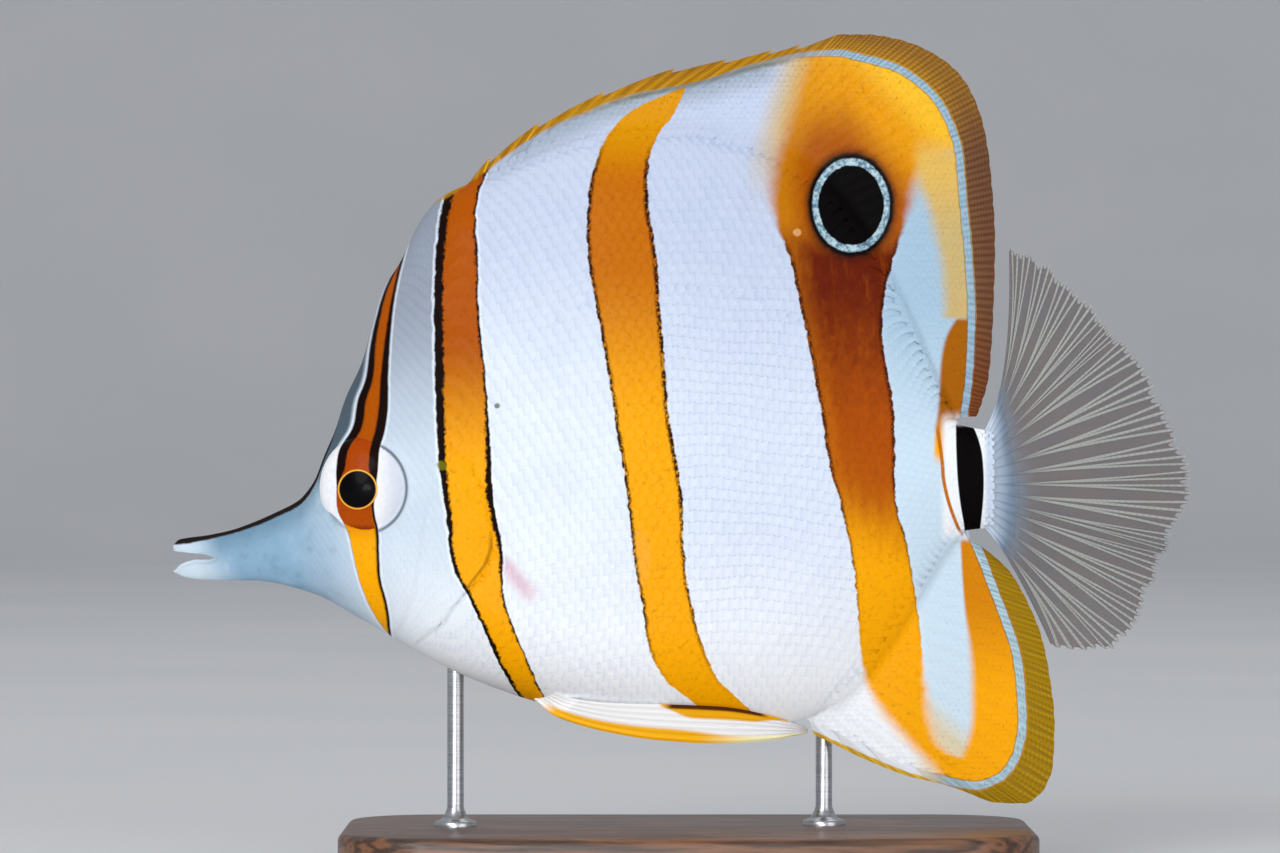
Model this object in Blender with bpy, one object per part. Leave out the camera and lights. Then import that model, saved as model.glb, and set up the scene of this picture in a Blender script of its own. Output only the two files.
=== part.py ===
"""Copperband butterflyfish, life size and still, on a plain display stand.

The fish faces -X and its back points to +Z. The stand rests on z = 0. Sizes are in millimetres
and are turned into metres where a mesh is placed.
"""

import bisect
import math

import bmesh
import bpy
from mathutils import Matrix, Vector

MM = 0.001
GAP = 0.3  # clearance between neighbouring pieces
HALF_GAP = GAP / 2
WELD = 0.000002  # metres between points that are the same one
SEAM_WELD = 0.00001  # metres between points that a turned or swept form repeats
SHARP_ANGLE = math.radians(50.0)
SIDES = {"left": -1, "right": 1}

# Side view of the body without its fins, from the snout's tip to the end of the tail base
SNOUT_TIP = -77.5
TAIL_END = 45.6
BACK_LINE = [
    (-77.5, 48.5), (-76.6, 49.3), (-72.3, 49.95), (-68.8, 50.7), (-65.4, 51.9), (-62.0, 53.4),
    (-58.6, 55.2), (-57.2, 56.7), (-56.1, 58.4), (-54.8, 61.8), (-53.1, 65.8), (-51.7, 70.2),
    (-49.0, 76.2), (-47.4, 82.2), (-46.0, 86.7), (-43.4, 90.9), (-40.3, 97.2), (-37.2, 100.8),
    (-31.2, 103.6), (-25.2, 106.3), (-13.2, 110.1), (-1.2, 111.3), (10.8, 108.9), (19.8, 103.2),
    (27.3, 94.2), (34.0, 81.4), (38.5, 71.0), (41.1, 66.6), (45.6, 65.7),
]
BELLY_LINE = [
    (-77.5, 44.2), (-76.0, 43.5), (-74.0, 43.1), (-68.8, 42.9), (-65.4, 42.9), (-62.0, 42.5),
    (-58.5, 41.6), (-55.0, 40.4), (-50.4, 37.8), (-46.3, 35.5), (-41.1, 32.4), (-32.7, 28.2),
    (-22.2, 24.5), (-10.2, 21.9), (1.8, 20.8), (12.3, 21.1), (17.7, 22.2), (24.3, 26.2), (30.3, 33.5),
    (35.5, 41.7), (39.3, 47.7), (42.0, 50.4), (45.6, 50.8),
]

# Half width of the body, and how it falls off towards the back and the belly
HALF_WIDTH = [
    (-77.5, 1.0), (-75.0, 1.5), (-70.0, 2.1), (-64.0, 2.7), (-59.5, 3.6), (-56.0, 5.4), (-52.0, 7.0),
    (-47.0, 8.0), (-40.0, 8.8), (-28.0, 9.6), (-12.0, 9.5), (3.0, 8.5), (18.0, 6.8), (30.0, 5.2),
    (38.0, 3.8), (45.6, 2.6),
]
BACK_REACH = [
    (-77.5, 2.4), (-68.5, 3.8), (-62.0, 5.2), (-58.0, 7.0), (-52.0, 9.0), (-46.0, 11.0), (-38.0, 16.0),
    (-25.0, 26.0), (-5.0, 30.0), (15.0, 28.0), (30.0, 20.0), (40.0, 7.5), (45.6, 7.0),
]
BELLY_REACH = [
    (-77.5, 2.4), (-68.5, 3.8), (-62.0, 5.0), (-55.0, 7.0), (-48.0, 9.0), (-35.0, 11.0), (-15.0, 13.0),
    (5.0, 16.0), (20.0, 18.0), (30.0, 14.0), (40.0, 7.5), (45.6, 7.0),
]
BACK_SHARPNESS = [
    (-58.0, 0.5), (-50.0, 0.55), (-40.0, 0.62), (-25.0, 0.72), (30.0, 0.75), (40.0, 0.6), (45.6, 0.5),
]
BELLY_SHARPNESS = [(-50.0, 0.5), (-20.0, 0.6), (5.0, 0.7), (25.0, 0.75), (40.0, 0.6), (45.6, 0.5)]
BACK_EDGE = [
    (-77.5, 0.3), (-40.0, 0.4), (-34.0, 0.9), (-20.0, 1.1), (25.0, 1.1), (41.0, 0.8), (43.0, 0.4),
]
BELLY_EDGE = [
    (-77.5, 0.3), (-30.0, 0.5), (5.0, 0.9), (18.0, 1.1), (36.0, 0.9), (41.5, 0.8), (43.0, 0.4),
]
BODY_COLUMNS = 52
BODY_ROWS = 14
OUTLINE_STEPS = 160
OUTLINE_NUDGE = 0.05  # way along the outline over which its direction is read

# The tail swings away from the left side, more and more towards its end
SWAY_START = 30.0
SWAY_CURVE = 0.0141
FIN_SWAY_START = 42.0
FIN_SWAY_SLOPE = 0.05

# Lines along which the body is parted, in side view
MOUTH_GAPE = [
    (-79.0, 47.5), (-77.3, 47.4), (-72.6, 46.95), (-71.3, 46.45), (-71.9, 46.2), (-74.1, 46.2),
    (-75.6, 45.8), (-76.6, 45.3), (-77.2, 44.6), (-79.0, 44.2),
]
UPPER_JAW_CUT = [(-67.6, 54.0), (-71.5, 46.5)]
LOWER_JAW_CUT = [(-71.5, 46.4), (-65.6, 40.5)]
SNOUT_CUT = [(-59.3, 60.0), (-58.3, 48.0), (-57.0, 37.0)]
HEAD_CUT = [
    (-38.6, 104.0), (-37.6, 97.0), (-37.0, 88.0), (-36.7, 78.0), (-35.3, 67.0), (-32.4, 60.4),
    (-30.0, 53.7), (-29.3, 48.4), (-30.6, 44.4), (-33.6, 41.0), (-36.8, 37.0), (-40.2, 34.2),
    (-43.5, 30.5),
]
GILL_COVER_CUT = [
    (-33.0, 62.6), (-37.2, 60.9), (-39.0, 55.2), (-40.2, 47.7), (-41.1, 41.7), (-42.6, 37.5),
    (-45.5, 32.0),
]
TAIL_CUT = [(39.8, 78.0), (40.3, 58.0), (39.8, 40.0)]
GILL_COVER_DEPTH = 3.6  # inner face of the gill covers, from the middle of the body
GILL_COVER_TOP = 5  # point of the head cut above which the gill covers end
PAST_BODY = 16.0

# A point inside each piece that the cuts part, as x, y, z
BODY_PIECES = {
    "upper_jaw": (-73.5, 0.0, 48.4),
    "lower_jaw": (-72.5, 0.0, 44.5),
    "snout": (-63.5, 0.0, 47.5),
    "head": (-45.0, 0.0, 66.0),
    "gill_cover_left": (-35.5, -6.5, 48.0),
    "gill_cover_right": (-35.5, 6.5, 48.0),
    "trunk": (0.0, 0.0, 66.0),
    "tail_base": (43.0, 1.0, 58.0),
}

# Lips, nostrils and eyes
LIP_RADIUS = 0.34
LIP_ROUNDING = 2
LIP_FRONT_SHARE = 0.45  # half width of a lip's front bar, as a share of the jaw's there
UPPER_LIP = [(-72.2, 47.05), (-74.5, 47.3), (-76.6, 47.55)]
LOWER_LIP = [(-72.2, 46.05), (-74.4, 46.0), (-76.3, 45.2)]
LIP_FRONTS = {"upper_jaw": (-77.35, 47.75), "lower_jaw": (-76.95, 44.75)}
NOSTRILS = [(-55.2, 58.7), (-54.7, 60.2)]
NOSTRIL_RADIUS = 0.4
NOSTRIL_SEGMENTS = 8
NOSTRIL_RINGS = 6
EYE_CENTRE = (-48.3, 5.2, 57.0)
EYE_SIZE = (7.2, 3.7, 7.9)
EYE_TURN = math.radians(14.0)
EYE_SEGMENTS = 20
EYE_RINGS = 12

# What the fins share
FIN_EDGE = 0.27  # half thickness of a fin at its margin
FIN_ROWS = 6
THINNING_POWER = 1.4
RAY_RISE = 0.14  # how far a ray stands out of the membrane
RAY_RAMP = 4.0  # a ray has its full height after its length divided by this
SPINE_RISE = 0.32
SPINE_TAPER = 0.7  # share of a spine's rise that is lost by its tip

# Dorsal fin: free spines in front, soft rays behind
SPINE_COUNT = 9
SPINE_COLUMNS = (0.0, 0.16, 0.5, 0.84)
SPINE_NOTCHES = (0.0, 1.3, 0.8, 0.25)
SPINE_NOTCH_LIMIT = 3  # no notch is deeper than the spine's length divided by this
DORSAL_SPINE_ROOTS = (-36.3, -34.8, -32.1, -28.5, -23.7, -18.3, -12.3, -6.0, 0.6, 7.3)
DORSAL_SPINE_TIPS = [
    (-36.2, 101.2), (-34.5, 102.1), (-29.8, 106.8), (-22.4, 112.0), (-12.7, 116.6), (-2.0, 120.2),
    (5.9, 121.6), (12.8, 123.0), (17.0, 123.9), (22.5, 125.5),
]
DORSAL_RAYS = 28
DORSAL_ROOT = (7.9, 39.9)
DORSAL_MARGIN = [
    (0.0, 23.1, 125.4), (0.08, 27.0, 125.3), (0.16, 32.0, 124.5), (0.24, 37.5, 122.2),
    (0.33, 41.9, 118.2), (0.43, 44.7, 111.4), (0.52, 45.8, 104.0), (0.64, 46.4, 94.0),
    (0.76, 46.1, 82.8), (0.87, 45.4, 73.6), (0.94, 44.4, 69.8), (1.0, 43.6, 67.7),
]

# Anal fin: three strong spines, then soft rays
ANAL_SPINES = 3
ANAL_RAYS = 19
ANAL_NOTCH = 0.9  # depth of the margin's notches between the spines
ANAL_ROOT = [
    (0.0, 18.2), (0.045, 19.2), (0.09, 20.4), (0.136, 21.9), (0.3, 25.6), (0.5, 30.6), (0.7, 35.4),
    (0.85, 38.9), (1.0, 40.7),
]
ANAL_MARGIN = [
    (0.0, 19.0, 19.8), (0.045, 26.6, 16.1), (0.09, 32.6, 13.7), (0.136, 39.6, 11.9), (0.2, 46.8, 9.4),
    (0.26, 50.7, 9.3), (0.32, 53.7, 11.3), (0.38, 55.2, 15.5), (0.46, 55.4, 21.5),
    (0.56, 54.7, 28.2), (0.66, 53.5, 34.2), (0.76, 51.4, 39.5), (0.86, 48.6, 44.3),
    (0.94, 46.0, 46.8), (1.0, 44.2, 48.2),
]

# Caudal fin, spread wide and turned away from the left side
CAUDAL_RAYS = 17
CAUDAL_ROWS = 9
CAUDAL_SLOPE = math.tan(math.radians(18.0))
CAUDAL_CUP = 1.5
CAUDAL_FLARE = 3.4  # how far the rays run straight back before they fan out
CAUDAL_TURN = 0.25  # share of its rise or fall that a ray has at the end of the flare
CAUDAL_INSET = 0.25
CAUDAL_BLEND = 0.3  # share of the rays along which the thick root thins to the membrane
CAUDAL_SWELL = 0.3  # extra half thickness of the membrane at its root
CAUDAL_MARGIN = [
    (0.0, 48.6, 93.9), (0.08, 53.7, 91.5), (0.16, 58.8, 87.3), (0.25, 64.2, 81.9), (0.36, 70.5, 74.7),
    (0.46, 74.4, 66.0), (0.5588, 77.5, 58.0), (0.66, 75.0, 50.3), (0.77, 71.4, 42.3), (0.86, 68.5, 36.0),
    (0.93, 64.2, 32.0), (1.0, 55.6, 32.0),
]

# Paired fins, as if on the right side
PECTORAL_RAYS = 13
PECTORAL_ROWS = 6
PECTORAL_ROOT = ((-26.3, 45.8), (-24.7, 39.8))
PECTORAL_MARGIN = [
    (0.0, -7.0, 51.0), (0.25, -5.4, 47.4), (0.5, -6.4, 43.2), (0.75, -10.0, 39.4), (1.0, -16.0, 37.0),
]
PECTORAL_SPLAY = 6.0
PECTORAL_BOW = 0.8
PECTORAL_SWELL = 0.6  # extra half thickness at the root
PECTORAL_SWELL_REACH = 0.35
PECTORAL_RAMP = 3.0
PELVIC_RAYS = 6
PELVIC_ROWS = 10
PELVIC_LOWER = [
    (0.0, -23.2, 25.2), (0.1, -20.2, 22.9), (0.28, -12.2, 20.4), (0.48, -4.0, 19.1), (0.7, 5.0, 18.6),
    (0.88, 13.0, 19.1), (1.0, 18.0, 20.0),
]
PELVIC_UPPER = [
    (0.0, -20.6, 26.6), (0.1, -17.0, 25.4), (0.28, -11.0, 24.8), (0.48, -3.4, 24.6), (0.7, 5.0, 24.2),
    (0.88, 12.4, 22.8), (1.0, 18.1, 20.8),
]
PAIRED_FIN_SINK = 0.8
PELVIC_STANDOFF = 0.75
PELVIC_LEAN = 1.6  # how far the lower edge lies inside the upper one
PELVIC_ROOT_LEAN = 1.3
PELVIC_ROOT_REACH = 0.12
PELVIC_SWELL = 0.35  # extra half thickness near the root
PELVIC_SWELL_REACH = 0.3
PELVIC_ROOT_RAMP = 6.0

# Display stand
BASE_SIZE = (104.0, 60.0, 6.0)
BASE_CORNER = 14.0
BASE_CORNER_STEPS = 6
BASE_BEVEL = 1.2
BASE_BEVEL_STEPS = 2
ROD_RADIUS = 1.25
ROD_COLLAR = ((3.2, 0.0), (3.2, 0.8), (1.9, 1.6), (ROD_RADIUS, 2.8))
ROD_PLACES = {"stand_rod_front": (-35.0, 0.0, 33.0), "stand_rod_rear": (20.6, 3.1, 31.0)}
ROD_STEPS = 16

# Colour, roughness and metallic value of each finish
FINISHES = {
    "pale_skin": ((0.80, 0.80, 0.90), 0.42, 0.0),
    "snout_skin": ((0.45, 0.54, 0.66), 0.40, 0.0),
    "black_skin": ((0.01, 0.01, 0.012), 0.35, 0.0),
    "white_fin": ((0.88, 0.89, 0.93), 0.45, 0.0),
    "yellow_fin": ((0.85, 0.50, 0.04), 0.45, 0.0),
    "clear_fin": ((0.72, 0.76, 0.82), 0.35, 0.0),
    "eye": ((0.01, 0.01, 0.012), 0.08, 0.0),
    "stand": ((0.06, 0.06, 0.065), 0.45, 0.0),
    "steel_rod": ((0.60, 0.60, 0.62), 0.25, 1.0),
}
BODY_FINISHES = {
    "snout": "snout_skin",
    "upper_jaw": "snout_skin",
    "lower_jaw": "snout_skin",
    "tail_base": "black_skin",
}


def clear_scene():
    """Remove what the scene holds before the model is made."""
    for obj in list(bpy.data.objects):
        bpy.data.objects.remove(obj, do_unlink=True)
    for collection in list(bpy.data.collections):
        bpy.data.collections.remove(collection)


def new_collection(name):
    collection = bpy.data.collections.new(name)
    bpy.context.scene.collection.children.link(collection)
    return collection


def make_materials():
    """One Principled material for each finish."""
    materials = {}
    for name, (colour, roughness, metallic) in FINISHES.items():
        material = bpy.data.materials.new(name)
        material.use_nodes = True
        shader = material.node_tree.nodes["Principled BSDF"]
        shader.inputs["Base Color"].default_value = (*colour, 1.0)
        shader.inputs["Roughness"].default_value = roughness
        shader.inputs["Metallic"].default_value = metallic
        materials[name] = material
    return materials


def smooth_value(knots, place):
    """Value at one place of the smooth curve through (place, value) knots, with no overshoot."""
    if place <= knots[0][0]:
        return knots[0][1]
    if place >= knots[-1][0]:
        return knots[-1][1]
    index = bisect.bisect_right([knot[0] for knot in knots], place) - 1

    def secant(start):
        (low, first), (high, second) = knots[start][:2], knots[start + 1][:2]
        return (second - first) / (high - low)

    def tangent(at):
        if at == 0:
            return secant(0)
        if at == len(knots) - 1:
            return secant(at - 1)
        before, after = secant(at - 1), secant(at)
        return 0.0 if before * after <= 0.0 else 2.0 * before * after / (before + after)

    span = knots[index + 1][0] - knots[index][0]
    t = (place - knots[index][0]) / span
    start, end = knots[index][1], knots[index + 1][1]
    lead = (1 + 2 * t) * (1 - t) ** 2 * start + t * t * (3 - 2 * t) * end
    return lead + span * (t * (1 - t) ** 2 * tangent(index) - t * t * (1 - t) * tangent(index + 1))


def smooth_point(knots, place):
    """Side-view point (x, z) of the smooth curve through (place, x, z) knots."""
    return (
        smooth_value([(knot[0], knot[1]) for knot in knots], place),
        smooth_value([(knot[0], knot[2]) for knot in knots], place),
    )


def outline_samples(line):
    """The back or belly line as many short steps."""
    length = TAIL_END - SNOUT_TIP
    places = [SNOUT_TIP + length * step / OUTLINE_STEPS for step in range(OUTLINE_STEPS + 1)]
    return [Vector((x, smooth_value(line, x))) for x in places]


def distance_to(samples, point):
    """Shortest way in side view from a point to a line given as short steps."""
    nearest = min(range(len(samples)), key=lambda index: (samples[index] - point).length_squared)
    best = (samples[nearest] - point).length
    for other in (nearest - 1, nearest + 1):
        if not 0 <= other < len(samples):
            continue
        along = samples[other] - samples[nearest]
        share = max(0.0, min(1.0, (point - samples[nearest]).dot(along) / along.length_squared))
        best = min(best, (samples[nearest] + along * share - point).length)
    return best


def fall_off(distance, reach, sharpness):
    """Share of the full width at a distance from the outline: 0 on it, 1 from the reach inwards."""
    inwards = max(0.0, min(1.0, distance / reach))
    return (1.0 - (1.0 - inwards) ** 2) ** sharpness


def sway(x):
    """How far the middle of the body lies to +Y at one station."""
    return 0.5 * SWAY_CURVE * max(0.0, x - SWAY_START) ** 2


def fin_sway(x):
    """Sideways place of the dorsal and anal fins, which follow the body and then run nearly straight."""
    return sway(min(x, FIN_SWAY_START)) + FIN_SWAY_SLOPE * max(0.0, x - FIN_SWAY_START)


class Body:
    """The fish's body in side view and in width."""

    def __init__(self):
        self.back = outline_samples(BACK_LINE)
        self.belly = outline_samples(BELLY_LINE)
        lengths = [0.0]
        for first, second in zip(self.back, self.back[1:]):
            lengths.append(lengths[-1] + (second - first).length)
        self.stations = [(length / lengths[-1], point.x) for length, point in zip(lengths, self.back)]

    def half_width(self, x, z):
        """Half the body's width at a point of its side view, and its edge's half width outside."""
        low, high = smooth_value(BELLY_LINE, x), smooth_value(BACK_LINE, x)
        height = max(0.0, min(1.0, (z - low) / (high - low)))
        edge = smooth_value(BELLY_EDGE, x) * (1.0 - height) + smooth_value(BACK_EDGE, x) * height
        if not low < z < high:
            return edge
        point = Vector((x, z))
        from_back = distance_to(self.back, point)
        from_belly = distance_to(self.belly, point)
        share = fall_off(from_back, smooth_value(BACK_REACH, x), smooth_value(BACK_SHARPNESS, x))
        share *= fall_off(from_belly, smooth_value(BELLY_REACH, x), smooth_value(BELLY_SHARPNESS, x))
        return edge + (smooth_value(HALF_WIDTH, x) - edge) * share

    def place(self, swell):
        """Point function of the body's surface, swollen all round by a clearance."""

        def point(along, across, side):
            x = smooth_value(self.stations, along)
            low, high = smooth_value(BELLY_LINE, x), smooth_value(BACK_LINE, x)
            rounded = (1.0 - math.cos(math.pi * across)) / 2
            z = low + (high - low) * rounded
            y = sway(x) + side * (self.half_width(x, z) + swell)
            return x, y, z + swell * (2 * rounded - 1)

        return point

    def fin_root(self, line, x):
        """Point one gap outside the back or belly line at a station."""
        before, after = x - OUTLINE_NUDGE, x + OUTLINE_NUDGE
        direction = Vector((after - before, smooth_value(line, after) - smooth_value(line, before)))
        outward = Vector((-direction.y, direction.x)).normalized()
        if line is BELLY_LINE:
            outward.negate()
        return Vector((x, smooth_value(line, x))) + outward * GAP


def finish_mesh(name, mesh_data, collection, material):
    """Turn a bmesh into an object in a collection."""
    bmesh.ops.recalc_face_normals(mesh_data, faces=mesh_data.faces)
    mesh = bpy.data.meshes.new(name)
    mesh_data.to_mesh(mesh)
    mesh_data.free()
    if material:
        mesh.materials.append(material)
    mesh.shade_smooth()
    mesh.set_sharp_from_angle(angle=SHARP_ANGLE)
    obj = bpy.data.objects.new(name, mesh)
    collection.objects.link(obj)
    return obj


def slab(name, columns, rows, place, collection, material=None):
    """Closed sheet with thickness: a grid and its extruded copy, set point by point on both faces."""
    mesh = bmesh.new()
    bmesh.ops.create_grid(mesh, x_segments=columns, y_segments=rows, size=0.5)
    bmesh.ops.triangulate(mesh, faces=mesh.faces[:], quad_method="FIXED")
    first_face = list(mesh.verts)
    lifted = bmesh.ops.extrude_face_region(mesh, geom=mesh.faces[:], use_keep_orig=True)
    second_face = [item for item in lifted["geom"] if isinstance(item, bmesh.types.BMVert)]
    for side, verts in ((-1, first_face), (1, second_face)):
        for vert in verts:
            vert.co = Vector(place(vert.co.x + 0.5, vert.co.y + 0.5, side)) * MM
    return finish_mesh(name, mesh, collection, material)


def prism(name, outline, low, high, collection):
    """Cutter with a side-view outline, from one y to another."""
    mesh = bmesh.new()
    verts = [mesh.verts.new(Vector((x, low, z)) * MM) for x, z in outline]
    face = mesh.faces.new(verts)
    lifted = bmesh.ops.extrude_face_region(mesh, geom=[face], use_keep_orig=True)
    moved = [item for item in lifted["geom"] if isinstance(item, bmesh.types.BMVert)]
    bmesh.ops.translate(mesh, verts=moved, vec=Vector((0.0, high - low, 0.0)) * MM)
    return as_cutter(finish_mesh(name, mesh, collection, None))


def as_cutter(obj):
    obj.hide_render = True
    obj.display_type = "WIRE"
    return obj


def saw_outline(path):
    """Outline of a cut one gap wide along a side-view path."""
    points = [Vector(point) for point in path]
    left, right = [], []
    for index, point in enumerate(points):
        before = points[max(index - 1, 0)]
        after = points[min(index + 1, len(points) - 1)]
        along = (after - before).normalized()
        sideways = Vector((-along.y, along.x)) * HALF_GAP
        left.append(point + sideways)
        right.append(point - sideways)
    return left + right[::-1]


def boolean(obj, operation, other):
    modifier = obj.modifiers.new(other.name, "BOOLEAN")
    modifier.operation = operation
    modifier.solver = "EXACT"
    modifier.object = other


def gather(piece, found):
    """Copy faces and their corners into a new bmesh."""
    copies = {}
    for face in found:
        for vert in face.verts:
            if vert not in copies:
                copies[vert] = piece.verts.new(vert.co)
        piece.faces.new([copies[vert] for vert in face.verts])
    return piece


def closed_pieces(obj):
    """The closed surfaces of an object once its modifiers have worked, largest first, as bmeshes."""
    graph = bpy.context.evaluated_depsgraph_get()
    whole = bmesh.new()
    whole.from_object(obj, graph)
    bmesh.ops.triangulate(whole, faces=whole.faces[:])
    bmesh.ops.remove_doubles(whole, verts=whole.verts, dist=WELD)
    bmesh.ops.dissolve_degenerate(whole, edges=whole.edges, dist=WELD)
    bmesh.ops.triangulate(whole, faces=whole.faces[:])
    waiting = set(whole.faces)
    pieces = []
    for first in whole.faces:
        if first not in waiting:
            continue
        waiting.remove(first)
        reached = {first}
        edge_of_search = [first]
        while edge_of_search:
            face = edge_of_search.pop()
            near = {other for edge in face.edges for other in edge.link_faces} & waiting
            waiting -= near
            reached |= near
            edge_of_search.extend(near)
        pieces.append(gather(bmesh.new(), [face for face in whole.faces if face in reached]))
    whole.free()
    return sorted(pieces, key=lambda piece: piece.calc_volume(signed=False), reverse=True)


def settle(obj, material):
    """Apply an object's cuts and unions and keep its largest closed surface."""
    name, collection = obj.name, obj.users_collection[0]
    largest = closed_pieces(obj)[0]
    bpy.data.objects.remove(obj)
    return finish_mesh(name, largest, collection, material)


def trim(obj, envelope, material):
    """Cut a piece back to one gap off the body and settle it."""
    boolean(obj, "DIFFERENCE", envelope)
    return settle(obj, material)


def eye_form(name, side, clearance, collection, material=None):
    """Eyeball, flattened sideways and turned a little forward."""
    mesh = bmesh.new()
    bmesh.ops.create_uvsphere(mesh, u_segments=EYE_SEGMENTS, v_segments=EYE_RINGS, radius=1.0)
    size = Vector(EYE_SIZE) + Vector((clearance, clearance, clearance))
    centre = Vector((EYE_CENTRE[0], side * EYE_CENTRE[1], EYE_CENTRE[2]))
    placed = Matrix.Translation(centre * MM)
    placed = placed @ Matrix.Rotation(side * EYE_TURN, 4, "Z")
    placed = placed @ Matrix.Diagonal((*(size * MM), 1.0))
    placed = placed @ Matrix.Rotation(math.radians(90.0), 4, "X")
    bmesh.ops.transform(mesh, matrix=placed, verts=mesh.verts)
    return finish_mesh(name, mesh, collection, material)


def add_nostrils(head, body, cutters):
    """Two small pits in front of each eye."""
    for word, side in SIDES.items():
        for index, (x, z) in enumerate(NOSTRILS):
            mesh = bmesh.new()
            bmesh.ops.create_uvsphere(
                mesh, u_segments=NOSTRIL_SEGMENTS, v_segments=NOSTRIL_RINGS, radius=NOSTRIL_RADIUS * MM
            )
            centre = Vector((x, side * body.half_width(x, z), z))
            bmesh.ops.translate(mesh, verts=mesh.verts, vec=centre * MM)
            pit = finish_mesh(f"nostril_{index}_{word}", mesh, cutters, None)
            boolean(head, "DIFFERENCE", as_cutter(pit))


def lip_tube(name, edge, front, body, cutters):
    """Rounded lip that runs from one corner of the mouth round the jaw's tip to the other."""
    half = [(x, body.half_width(x, z), z) for x, z in edge]
    path = [(x, -y, z) for x, y, z in half]
    bar = half[-1][1] * LIP_FRONT_SHARE
    path.append((front[0], -bar, front[1]))
    path.append((front[0], bar, front[1]))
    path.extend(reversed(half))
    curve = bpy.data.curves.new(name, "CURVE")
    curve.dimensions = "3D"
    curve.bevel_depth = LIP_RADIUS * MM
    curve.bevel_resolution = LIP_ROUNDING
    curve.use_fill_caps = True
    spline = curve.splines.new("POLY")
    spline.points.add(len(path) - 1)
    for point, place in zip(spline.points, path):
        point.co = (*(Vector(place) * MM), 1.0)
    guide = bpy.data.objects.new(f"{name}_guide", curve)
    cutters.objects.link(guide)
    bpy.context.view_layer.update()
    solid = bpy.data.meshes.new_from_object(guide.evaluated_get(bpy.context.evaluated_depsgraph_get()))
    tube = bmesh.new()
    tube.from_mesh(solid)
    bmesh.ops.remove_doubles(tube, verts=tube.verts, dist=SEAM_WELD)
    bpy.data.objects.remove(guide)
    bpy.data.meshes.remove(solid)
    return as_cutter(finish_mesh(name, tube, cutters, None))


def make_body(body, fish, cutters, materials):
    """Model the body whole, part it by thin cuts and name its pieces."""
    whole = slab("body_form", BODY_COLUMNS, BODY_ROWS, body.place(0.0), cutters)
    cuts = [prism("mouth_gape", MOUTH_GAPE, -PAST_BODY, PAST_BODY, cutters)]
    for name, path in (
        ("upper_jaw_cut", UPPER_JAW_CUT),
        ("lower_jaw_cut", LOWER_JAW_CUT),
        ("snout_cut", SNOUT_CUT),
        ("head_cut", HEAD_CUT),
        ("tail_cut", TAIL_CUT),
    ):
        cuts.append(prism(name, saw_outline(path), -PAST_BODY, PAST_BODY, cutters))
    plate = GILL_COVER_CUT + HEAD_CUT[:GILL_COVER_TOP:-1]
    for word, side in SIDES.items():
        reach = sorted((side * GILL_COVER_DEPTH, side * PAST_BODY))
        cuts.append(prism(f"gill_cover_cut_{word}", saw_outline(GILL_COVER_CUT), *reach, cutters))
        reach = sorted((side * GILL_COVER_DEPTH, side * (GILL_COVER_DEPTH + GAP)))
        cuts.append(prism(f"gill_cover_plate_{word}", plate, *reach, cutters))
        cuts.append(as_cutter(eye_form(f"eye_socket_{word}", side, GAP, cutters)))
    for cut in cuts:
        boolean(whole, "DIFFERENCE", cut)
    pieces = closed_pieces(whole)
    bpy.data.objects.remove(whole)
    made = {}
    for name, seed in BODY_PIECES.items():
        def off_seed(piece):
            total = sum((face.calc_center_median() for face in piece.faces), Vector())
            return (total / len(piece.faces) - Vector(seed) * MM).length

        chosen = min(pieces, key=off_seed)
        pieces.remove(chosen)
        made[name] = finish_mesh(name, chosen, fish, materials[BODY_FINISHES.get(name, "pale_skin")])
    for loose in pieces:
        loose.free()
    add_nostrils(made["head"], body, cutters)
    settle(made["head"], materials["pale_skin"])
    for jaw, edge in (("upper_jaw", UPPER_LIP), ("lower_jaw", LOWER_LIP)):
        lip = lip_tube(f"{jaw}_lip", edge, LIP_FRONTS[jaw], body, cutters)
        boolean(made[jaw], "UNION", lip)
        settle(made[jaw], materials["snout_skin"])


def make_eyes(fish, materials):
    for word, side in SIDES.items():
        eye_form(f"eye_{word}", side, 0.0, fish, materials["eye"])


def thinning(root, along):
    """Half thickness of a fin from its root to its margin."""
    return FIN_EDGE + (root - FIN_EDGE) * (1.0 - along) ** THINNING_POWER


def ray_crest(across, columns):
    """How far the membrane stands out at a column of a fin: every second one is a ray."""
    return RAY_RISE * (round(across * columns) % 2)


def spine_crest(along):
    """How far a spine stands out of the membrane from its root to its tip."""
    return SPINE_RISE * (1.0 - SPINE_TAPER * along)


def make_spiny_dorsal(body, fish, materials):
    """Membrane with laid-back spines, whose tips stand clear of the notched margin."""
    columns = SPINE_COUNT * len(SPINE_COLUMNS)
    roots = [(index / SPINE_COUNT, x) for index, x in enumerate(DORSAL_SPINE_ROOTS)]
    tips = [(index / SPINE_COUNT, *tip) for index, tip in enumerate(DORSAL_SPINE_TIPS)]

    def place(across, along, side):
        spine, part = divmod(round(across * columns), len(SPINE_COLUMNS))
        share = (spine + SPINE_COLUMNS[part]) / SPINE_COUNT
        root = body.fin_root(BACK_LINE, smooth_value(roots, share))
        tip = Vector(smooth_point(tips, share))
        reach = (tip - root).length
        notch = min(SPINE_NOTCHES[part], reach / SPINE_NOTCH_LIMIT)
        point = root + (tip - root) * (along * (1.0 - notch / reach))
        half = thinning(smooth_value(BACK_EDGE, root.x), along)
        if part == 0 and 0 < spine:
            half += spine_crest(along)
        return point.x, fin_sway(point.x) + side * half, point.y

    slab("dorsal_fin_spines", columns, FIN_ROWS, place, fish, materials["yellow_fin"])


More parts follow.
